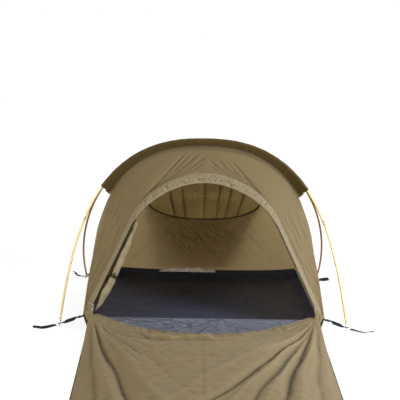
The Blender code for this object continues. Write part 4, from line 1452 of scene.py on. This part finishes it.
def make_hood():
    hood = make_cloth("vent_hood_cloth", hood_surface, 150, 80, (0, 1, 0.3), hood_relief)
    finish_piece(hood, "hood", ["vent_hood"], body=None)
    seam = hood_surface(0.5, 0.0)
    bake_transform(hood)
    points = [hood_surface(share, 1.0) for share in shares(60)]
    hem = ribbon("hood_hem", points, Vector((0, 0.8, 0.3)), HOOD_HEM)
    finish_piece(hem, "binding", body="hood")


def sleeve_relief(u, v, point):
    """Small cross wrinkles, deepest along both seams, and the two poles' soft backs."""
    seam_pull = abs(v - 0.5) * 2
    wrinkles = ripple(u * 1.25, v * 0.03, 0.017, 13.0)
    return (0.0014 * wrinkles * seam_pull + 0.0006 * crumple(point, 0.03, 8.0)) * 0.8 + 0.0004


def make_sleeve():
    sleeve = make_cloth("pole_sleeve_cloth", sleeve_surface, 300, 42, (0, 0, 1), sleeve_relief)
    finish_piece(sleeve, "sleeve", ["pole_sleeve"], "sleeve_cloth")
    columns = 200
    rows = 8
    for row, name, hem_place in ((-1, "front", 0.045), (1, "rear", 0.955)):
        surface = seam_strip_surface(row)
        strip = make_cloth(f"{name}_seam_strip", surface, columns, rows, (0, row, 0.5))
        # Painted shadow: the strip is painted darker towards the sleeve, as the shade under it
        shadow = [0.5 + 0.40 * share**0.7 for share in shares(rows) for _ in range(columns + 1)]
        set_painted_shade(strip.data, shadow)
        finish_piece(strip, "canopy")
        shift = Vector((0, row * 0.0012, 0))
        line = [sleeve_surface(share, hem_place) + shift for share in shares(240)]
        seams = [(line, Vector((0, row, 0.4)))]
        stitches(f"{name}_sleeve_stitches", seams, "dark_thread", "sleeve_cloth")
    hem_inset = 0.0048
    for u, name in ((hem_inset, "right"), (1 - hem_inset, "left")):
        points = [sleeve_surface(u, share) for share in shares(40)]
        middle = sum(points, Vector()) / len(points)
        normals = [(point - middle).normalized() for point in points]
        hem = ribbon(f"{name}_sleeve_hem", points, normals, SLEEVE_HEM)
        finish_piece(hem, "sleeve", slot="sleeve_cloth")


# Poles


def make_poles():
    """Smooth tubes in place of the CAD's facetted ones, one for each section."""
    steps = 24
    # The rear poles' metal is the gold tube painted a deeper brown as shade
    for row, row_name, metal in ((-1, "front", "pole"), (1, "rear", "painted_shade_rear_pole")):
        points = pole_path(row, POLE_SECTIONS * steps)
        for section in range(POLE_SECTIONS):
            run = points[section * steps : (section + 1) * steps + 1]
            first = run[0] + (run[1] - run[0]).normalized() * SECTION_GAP / 2
            last = run[-1] + (run[-2] - run[-1]).normalized() * SECTION_GAP / 2
            name = f"{row_name}_pole_tube_{section + 1}"
            piece = tube(name, [first, *run[1:-1], last], POLE_RADIUS, sides=20)
            finish_piece(piece, metal, [f"{row_name}_pole_section_{section + 1}"], "pole_tube")


# Leg section


def make_leg_section():
    panel = make_cloth("leg_panel_cloth", leg_surface, 250, 330, (0, 0, 1), crease=LEG_CREASE)
    finish_piece(panel, "leg", ["leg_panel"])
    points = [leg_surface(blend(0.003, 0.997, share), 0.0012) for share in shares(160)]
    for point in points:
        point.z += 0.0012
    facing = Vector((0, 0.35, 0.94))
    finish_piece(ribbon("leg_panel_hem", points, facing, LEG_HEM), "leg")
    rows = []
    for shift in (-0.0024, 0.0022):
        rows.append(([point + Vector((0, shift, 0.0014)) for point in points], facing))
    stitches("leg_hem_stitches", rows, "tan_thread", "canopy_cloth", pitch=0.0036, length=0.0026)
    sheet = make_cloth("groundsheet_cloth", tray_surface, 360, 60, (0, 0, 1), rounded=True)
    finish_piece(sheet, "floor", ["groundsheet"], "groundsheet_cloth")
    sill = make_cloth("sill_cloth_strip", sill_surface, 300, 40, (0, -0.3, 1))
    finish_piece(sill, "sill", ["entrance_sill"], "sill_cloth")


def make_rim_piping():
    """The bound seam between the shell and the groundsheet, all round."""
    points, normals = [], []
    for share in shares(420)[:-1]:
        x, y = tray_outline(share)
        points.append(Vector((x, y, rim_height(x, y))))
        normals.append(Vector((x, y - TRAY_CENTRE_Y, 0)).normalized() * 0.8 + UP * 0.6)
    piping = ribbon("rim_seam", points, normals, RIM_PIPING, closed=True)
    finish_piece(piping, "binding", slot="binding_tape")


# Door furniture


def zip_place(s):
    """A point of the door arch and the way from it in to the door."""
    ahead = door_edge(min(s + 0.002, 1.0))
    behind = door_edge(max(s - 0.002, -1.0))
    return door_edge(s), (ahead - behind).normalized().cross(door_normal()).normalized()


def make_zip():
    """The zip: its tape round the arch and the coil of teeth along the tape's inner edge; on the left
    leg both are painted a deep brown as the shade in the slit there.
    """
    left_run = ("left_zip", -1.0, ZIP_SPLIT, "dark", 90, 420)
    arch_run = ("arch_zip", ZIP_SPLIT, 1.0, "tan", 220, 1080)
    form = {"thickness": ZIP_TAPE_THICKNESS}
    for name, first, last, look, columns, teeth in (left_run, arch_run):

        def tape_surface(u, v):
            here, inward = zip_place(blend(first, last, u))
            return here + inward * blend(EDGE_GAP, EDGE_GAP + ZIP_WIDTH, v)

        tape = make_cloth(f"{name}_tape", tape_surface, columns, 3, (0, -1, 0.5), **form)
        finish_piece(tape, f"{look}_tape", ["door_zip"], "binding_tape")
        edge = 1 - COIL_INSET / ZIP_WIDTH
        points = [tape_surface(share, edge) for share in shares(teeth)]
        radii = [COIL_RADII[step % 2] for step in range(teeth + 1)]
        coil = tube(f"{name}_coil", points, radii, sides=6)
        finish_piece(coil, f"{look}_coil", slot="binding_tape")


def slider_body(name, matrix):
    """A bevelled block with a waist and a nose."""
    bm = bmesh.new()
    bmesh.ops.create_cube(bm, size=1.0)
    bmesh.ops.subdivide_edges(bm, edges=bm.edges, cuts=2, use_grid_fill=True)
    for vertex in bm.verts:
        x, y, z = vertex.co
        waist = 1 - 0.22 * (1 - (x * 2) ** 2) if abs(y) > 0.3 else 1.0
        nose = 1 - 0.18 * max(x * 2, 0.0)
        vertex.co = Vector((x * SLIDER_SIZE[0], y * waist * nose * SLIDER_SIZE[1], z * SLIDER_SIZE[2]))
    bm.transform(matrix)
    mesh = bpy.data.meshes.new(name)
    bm.to_mesh(mesh)
    bm.free()
    mesh.shade_smooth()
    obj = show(bpy.data.objects.new(name, mesh))
    round_edges(obj, 0.0009, 3)
    return obj


def round_edges(obj, width, segments):
    rounding = obj.modifiers.new("rounding", "BEVEL")
    rounding.width = width
    rounding.segments = segments


def make_sliders():
    """Each slider with the bail on its back, and the ring and tape of its pull."""
    half_height = SLIDER_SIZE[2] / 2
    for side, name in SIDES:
        foot, up, inward, outward = door_leg(side)
        middle = foot + up * SLIDER_START + inward * (EDGE_GAP + ZIP_WIDTH / 2)
        middle += outward * (ZIP_THICKNESS / 2 + FIT_GAP + half_height)
        metal = {"slot": "zip_metal", "body": f"{name}_slider"}
        body = slider_body(f"{name}_slider_body", frame_at(middle, up, outward))
        finish_piece(body, "zip_metal", [f"{name}_zip_slider"], **metal)
        seat = middle + outward * BAIL_FOOT
        reach = up * BAIL_HALF_LENGTH
        rise = outward * BAIL_HEIGHT
        arch = [seat + arc_place(reach, rise, math.pi * share) for share in shares(12)]
        finish_piece(tube(f"{name}_slider_bail", arch, BAIL_WIRE, sides=10), "zip_metal", **metal)
        make_pull(name, side, middle + outward * (half_height + PULL_THICKNESS / 2 + FIT_GAP))


def make_pull(name, side, hinge):
    """A pull's wire ring, which hangs from the slider's hinge, and the tape through it."""
    hang = Vector((0, -PULL_LEAN, -1)).normalized()
    across = Vector((1, 0, 0))
    face = across.cross(hang)
    reach = hang * RING_HALF_LENGTH
    aside = across * RING_HALF_WIDTH
    ring = [hinge + reach + arc_place(reach, aside, turn) for turn in circle(28)]
    loop = tube(f"{name}_pull_ring", ring, RING_WIRE, closed=True)
    finish_piece(loop, "zip_metal", slot="zip_metal", body=f"{name}_pull")
    points = []
    for share in shares(24):
        curl = across * (PULL_CURL * math.sin(math.pi * share * 1.1) * side)
        down = hang * blend(*PULL_TAPE_ENDS, share)
        points.append(hinge + down + curl - face * 0.0006 * share)
    tape = ribbon(f"{name}_pull_tape", points, face, PULL_TAPE)
    finish_piece(tape, "pull_tape", [f"{name}_zip_pull"], "pull_tape", f"{name}_pull")


def roll_surface(u, v):
    """The rolled door as one sheet wound up beside its left leg, crushed a little at its tie."""
    _, _, inward, outward = door_leg(-1)
    angle = math.tau * ROLL_TURNS * u
    along = blend(ROLL_TUCK, 1.0, v)
    gather = blend(0.30, 1.0, smooth_step((along - ROLL_TUCK) / 0.14))
    pinch = 1 - 0.26 * hump(along - TIE_AT, 0.035) + 0.10 * hump(along - TIE_AT + 0.11, 0.06)
    round_place = Vector((math.cos(angle) * 0.6, math.sin(angle) * 0.6, along * 9.0))
    dents = 1 + 0.25 * crumple(round_place, 0.9, 3.0)
    dents -= 0.20 * ridges(math.sin(angle) + 0.6 * math.cos(angle), along * 6, 0.9, 4.0, 2)
    drift = 3.5 * ripple(along, 0.0, 0.35, 1.0)
    crease = sharp_hump(math.remainder(angle - 1.2 - drift, math.tau), 0.16)
    size = blend(ROLL_CORE, 1.0, u) * pinch * dents * gather * (1 - 0.15 * crease)
    sag = outward * 0.003 * ripple(along, 0.0, 0.16, 6.0)
    reach = arc_place(inward, outward, angle) * (roll_radius(along) * ROLL_SKIN * size)
    return roll_centre(along) + sag + reach


def roll_edge_surface(u, v):
    """The strip of the door's cloth from the zip, where v is 0, to the side of the roll."""
    share = blend(0.01, 0.93, u)
    _, _, inward, outward = door_leg(-1)
    zip_edge = roll_line(share) + inward * (EDGE_GAP + ZIP_WIDTH) - outward * 0.0012
    roll_side = roll_centre(share) - inward * roll_radius(share) * 0.84
    bulge = 0.0016 * ripple(share, v * 0.2, 0.05, 3.0) * math.sin(math.pi * v)
    return zip_edge.lerp(roll_side, v) - outward * bulge


def make_rolled_door():
    """The rolled door, the strip between it and its zip, and its tie."""
    _, up, inward, outward = door_leg(-1)
    thin = {"thickness": DOOR_THICKNESS}
    columns = ROLL_TURNS * 22
    door = make_cloth("rolled_door_cloth", roll_surface, columns, 100, (0, 0, 1), **thin)
    finish_piece(door, "roll", ["rolled_door"])
    # This strip of the door's own tan cloth takes the sleeve's deep brown cloth, as painted shade in
    # the gap beside the roll
    edge = make_cloth("door_edge_cloth", roll_edge_surface, 120, 8, outward, **thin)
    finish_piece(edge, "sleeve")
    radius = roll_radius(TIE_AT) * TIE_RADIUS
    middle = roll_centre(TIE_AT)
    normals = [arc_place(inward, outward, turn) for turn in circle(48)]
    points = []
    for out, turn in zip(normals, circle(48)):
        points.append(middle + out * (radius * (1 + 0.03 * math.sin(3 * turn))))
    tie = ribbon("tie_band", points, normals, DOOR_TIE, closed=True)
    finish_piece(tie, "binding", ["door_tie"], "binding_tape")
    top = middle + outward * radius
    reach = [top + arc_place(up * 0.0035, outward * 0.0052, math.pi * share) for share in shares(12)]
    finish_piece(tube("tie_loop", reach, 0.0009), "dark_thread", slot="binding_tape")


# Webbing


def make_corners():
    for row, row_name in ((-1, "front"), (1, "rear")):
        points = pole_path(row, 40)
        for side, side_name in SIDES:
            end, inner = (points[0], points[1]) if side > 0 else (points[-1], points[-2])
            make_corner(f"{row_name}_{side_name}", row, side, end, (end - inner).normalized())


def make_corner(name, row, side, end, down):
    """A corner's tab, its flap in front, its strap, its eyelet and its free strap end."""
    eyelet = end + down * ((end.z - EYELET_Z) / -down.z)
    out = CORNER_HALF_WIDTH + BUCKLE_CLEARANCE
    corner = Vector((side * out, row * CORNER_Y, CORNER_Z - BUCKLE_DROP))
    along = (eyelet - corner).normalized()
    matrix = frame_at(corner, along, (-down).lerp(UP, 0.5))
    up = matrix.col[2].xyz
    shell = Vector((side * (CORNER_HALF_WIDTH - 0.012), row * (CORNER_Y - 0.004), CORNER_Z - 0.002))
    tab = hung_line(shell, corner + along * TAB_REACH, up * TAB_RISE, 10)
    finish_piece(ribbon(f"{name}_corner_tab", tab, up, CORNER_TAB), "leg")
    if row < 0:
        make_corner_flap(name, side)
    fold = eyelet + along * STRAP_PAST_EYELET
    make_strap(name, row, side, corner, fold, along, up)
    matrix.translation = eyelet
    ring = eyelet_ring(f"{name}_eyelet_ring", matrix)
    finish_piece(ring, "eyelet", [f"{name}_eyelet"], "eyelet_metal")
    make_tail(name, row, side, fold, along)


def hung_line(start, end, rise, count):
    """A line from start to end that rises or sags in its middle."""
    return [start.lerp(end, share) + rise * math.sin(math.pi * share) for share in shares(count)]


def make_corner_flap(name, side):
    """The leg panel's gathered corner, which comes up to the foot of the zip."""
    top = [Vector(place) for place in FLAP_TOP]
    bottom = [Vector(place) for place in FLAP_BOTTOM]

    def surface(u, v):
        part, share = (0, u * 2) if u <= 0.5 else (1, u * 2 - 1)
        high = top[part].lerp(top[part + 1], share)
        low = bottom[part].lerp(bottom[part + 1], share)
        point = high.lerp(low, v)
        pleat = ridges(u * 0.05, v * 0.008, 0.012, 3.0 + side, 2) * math.sin(math.pi * v)
        point.y -= 0.0050 * pleat + 0.0040 * math.sin(math.pi * v)
        point.x *= side
        return point

    finish_piece(make_cloth(f"{name}_corner_flap", surface, 40, 16, (side, -0.9, 0.3)), "leg")


def make_strap(name, row, side, corner, fold, along, up):
    """A corner's strap from its buckle to the line that its free end folds on."""
    finish = fold - along * 0.0022
    strap = hung_line(corner + along * STRAP_REACH, finish, up * -STRAP_SAG, 40)
    facing = Vector((0, -0.5, 0.9)) if row < 0 else up + Vector((0, -0.4, 0))
    normals = []
    for index in range(len(strap)):
        normals.append(up.lerp(facing, smooth_step(index / 8) * smooth_step((34 - index) / 12)))
    band = ribbon(f"{name}_strap_band", strap, normals, STRAP)
    slant_to_fold(band, along, fold, tail_way(row, side))
    finish_piece(band, "webbing", [f"{name}_strap"], "black_webbing")
    across = along.cross(up).normalized() * STRAP_SEAM_HALF_LENGTH
    rows = []
    for place in STRAP_SEAMS:
        middle = finish - along * place + up * 0.0010
        rows.append(([middle - across, middle + across], up))
    stitches(f"{name}_strap_stitches", rows, "tan_thread", "black_webbing", pitch=0.0030)


def slant_to_fold(strap, along, fold, away):
    """Draws a strap's last stretch back, so that it ends just short of the line it folds on."""
    stretch = 0.014
    cosine = along.dot(away)
    nearest = min((fold - vertex.co).dot(along) for vertex in strap.data.vertices)
    for vertex in strap.data.vertices:
        back = (fold - vertex.co).dot(along) - nearest
        past = (vertex.co - fold).dot(away) + 0.0010 + back * cosine
        if back < stretch and past > 0:
            vertex.co -= along * (past / cosine * (1 - back / stretch))


def eyelet_ring(name, matrix):
    """A flattened ring round the Z axis of a matrix."""
    rings = []
    for turn in circle(32):
        outward = Vector((math.cos(turn), math.sin(turn), 0))
        middle = outward * EYELET_RADIUS
        aside = outward * EYELET_HALF_WIDTH
        down = UP * -EYELET_HALF_HEIGHT
        rings.append([matrix @ (middle + arc_place(aside, down, angle)) for angle in circle(16)])
    return swept(name, rings, closed=True)


def tail_way(row, side):
    """Which way a strap's free end points: a little forward in front, a little back behind."""
    _, degrees, _ = STRAP_ENDS[row]
    turn = math.radians(degrees)
    return Vector((side * math.cos(turn), math.sin(turn), 0))


def make_tail(name, row, side, fold, along):
    """The strap's free end, which starts on the strap and bends at its hinge."""
    length, _, most_twist = STRAP_ENDS[row]
    away = tail_way(row, side)
    origin = fold - along * 0.010 + away * 0.0120
    points, normals = [], []
    for share in shares(40):
        height = blend(fold.z, STRAP_END_GROUND, smooth_step(share * 2.2))
        height += STRAP_END_LIFT[row, side] * smooth_step((share - 0.55) / 0.45)
        twist = most_twist * math.sin(math.pi * share * 0.8) * side
        height += STRAP_END_EDGE * abs(twist) / math.hypot(1, twist)
        place = origin + away * length * share
        points.append(Vector((place.x, place.y, height)))
        normals.append(Vector((0, twist, 1)))
    tail = ribbon(f"{name}_tail_band", points, normals, STRAP_END)
    finish_piece(tail, "webbing", [f"{name}_strap_end"], "black_webbing", f"{name}_tail")


def make_foot_loops():
    """Each peg loop as one band of webbing laid round its hole."""
    straight = FOOT_LOOP_LENGTH - FOOT_LOOP_HALF_WIDTH
    radius = FOOT_LOOP_HALF_WIDTH - FOOT_LOOP_BAND / 2
    y = leg_end_y(FOOT_LOOP_ACROSS)
    for side, name in SIDES:
        x = side * leg_half_width(y) * FOOT_LOOP_ACROSS
        slope = FOOT_ROUNDING * 5 * FOOT_LOOP_ACROSS**4 / LEG_END_HALF_WIDTH
        away = Vector((side * slope, -1, 0)).normalized()
        start = tray_floor(x, y) + away * ((WEBBING + FIT_GAP) * WALL_LEAN + EDGE_GAP)
        start.z = 0.00105
        aside = UP.cross(away) * radius
        leg = [start + away * straight * share for share in shares(12)]
        bend = []
        for share in shares(24)[1:-1]:
            bend.append(leg[-1] + arc_place(away * radius, aside, math.pi * (share - 0.5)))
        points = [point - aside for point in leg] + bend + [point + aside for point in reversed(leg)]
        loop = ribbon(f"{name}_peg_loop", points, UP, PEG_LOOP)
        finish_piece(loop, "webbing", [f"{name}_foot_loop"], "black_webbing", f"{name}_loop")


# Looks of the CAD's own nodes


def dress_nodes():
    """Gives each shown CAD node its material and rounds the edges of the buckles."""
    for name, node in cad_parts.items():
        for word, material in NODE_LOOKS.items():
            if word in name:
                node.data.materials.clear()
                node.data.materials.append(MATERIALS[material])
        if "buckle" in name:
            round_edges(node, 0.0007, 2)


# Scene


def add_camera():
    yaw, pitch, roll = (math.radians(angle) for angle in CAMERA_TURN)
    level = Vector((math.sin(yaw), math.cos(yaw), 0))
    forward = level * math.cos(pitch) - UP * math.sin(pitch)
    right = level.cross(UP)
    down = forward.cross(right)
    data = bpy.data.cameras.new("camera")
    data.lens = CAMERA_LENS
    data.sensor_width = 36.0
    camera = show(bpy.data.objects.new("camera", data))
    matrix = Matrix((arc_place(right, down, roll), arc_place(-down, right, roll), -forward))
    camera.matrix_world = Matrix.Translation(CAMERA_PLACE) @ matrix.transposed().to_4x4()
    bpy.context.scene.camera = camera


def add_lamp(name, place, size, power, colour):
    """A soft square lamp that looks at the tent."""
    data = bpy.data.lights.new(name, "AREA")
    data.shape = "SQUARE"
    data.size = size
    data.energy = power
    data.color = colour
    lamp = show(bpy.data.objects.new(name, data))
    lamp.location = place
    aim = Vector(LAMP_AIM) - Vector(place)
    lamp.rotation_euler = aim.to_track_quat("-Z", "Y").to_euler()


def seen_directly(tree):
    """1 for rays from the camera, from a mirror or through glass."""
    path = add_node(tree, "LightPath").outputs
    first = math_node(tree, "MAXIMUM", path["Is Camera Ray"], path["Is Glossy Ray"])
    return math_node(tree, "MAXIMUM", first, path["Is Transmission Ray"])


def add_world():
    """A world that looks white and lights the tent evenly and faintly."""
    world = bpy.data.worlds.new("studio")
    bpy.context.scene.world = world
    world.use_nodes = True
    tree = world.node_tree
    lit = tree.nodes["Background"]
    set_inputs(lit, Color=WHITE, Strength=EVEN_LIGHT)
    seen = add_node(tree, "Background", Color=WHITE, Strength=1.0)
    mix_shaders(tree, "World Output", seen_directly(tree), lit, seen)


def add_floor():
    """A plain white floor that keeps a faint shadow."""
    reach = 30.0
    corners = [(-reach, -reach, 0), (reach, -reach, 0), (reach, reach, 0), (-reach, reach, 0)]
    floor = object_from("floor", corners, [(0, 1, 2, 3)])
    floor.location.z = -0.0004
    material, tree, shader, _, space = new_material("studio_floor")
    set_inputs(shader, Base_Color=(0.9, 0.9, 0.9), Roughness=0.9, Specular_IOR_Level=0.0)
    distance = add_node(tree, "VectorMath", {"operation": "LENGTH"})
    connect(distance, 0, space)
    strength = map_range(tree, distance.outputs["Value"], **FLOOR_FADE)
    glow = add_node(tree, "Emission", Strength=strength)
    share = math_node(tree, "MULTIPLY", seen_directly(tree), FLOOR_SHARE)
    mix_shaders(tree, "Material Output", share, shader, glow)
    floor.data.materials.append(material)


add_camera()
add_world()
add_floor()
for lamp_name, lamp_settings in LAMPS.items():
    add_lamp(lamp_name, *lamp_settings)
bpy.context.scene.view_settings.view_transform = "Standard"

make_front()
make_sides()
make_rear()
make_hood()
make_sleeve()
make_poles()
make_leg_section()
make_rim_piping()
make_zip()
make_sliders()
make_rolled_door()
make_corners()
make_foot_loops()
dress_nodes()
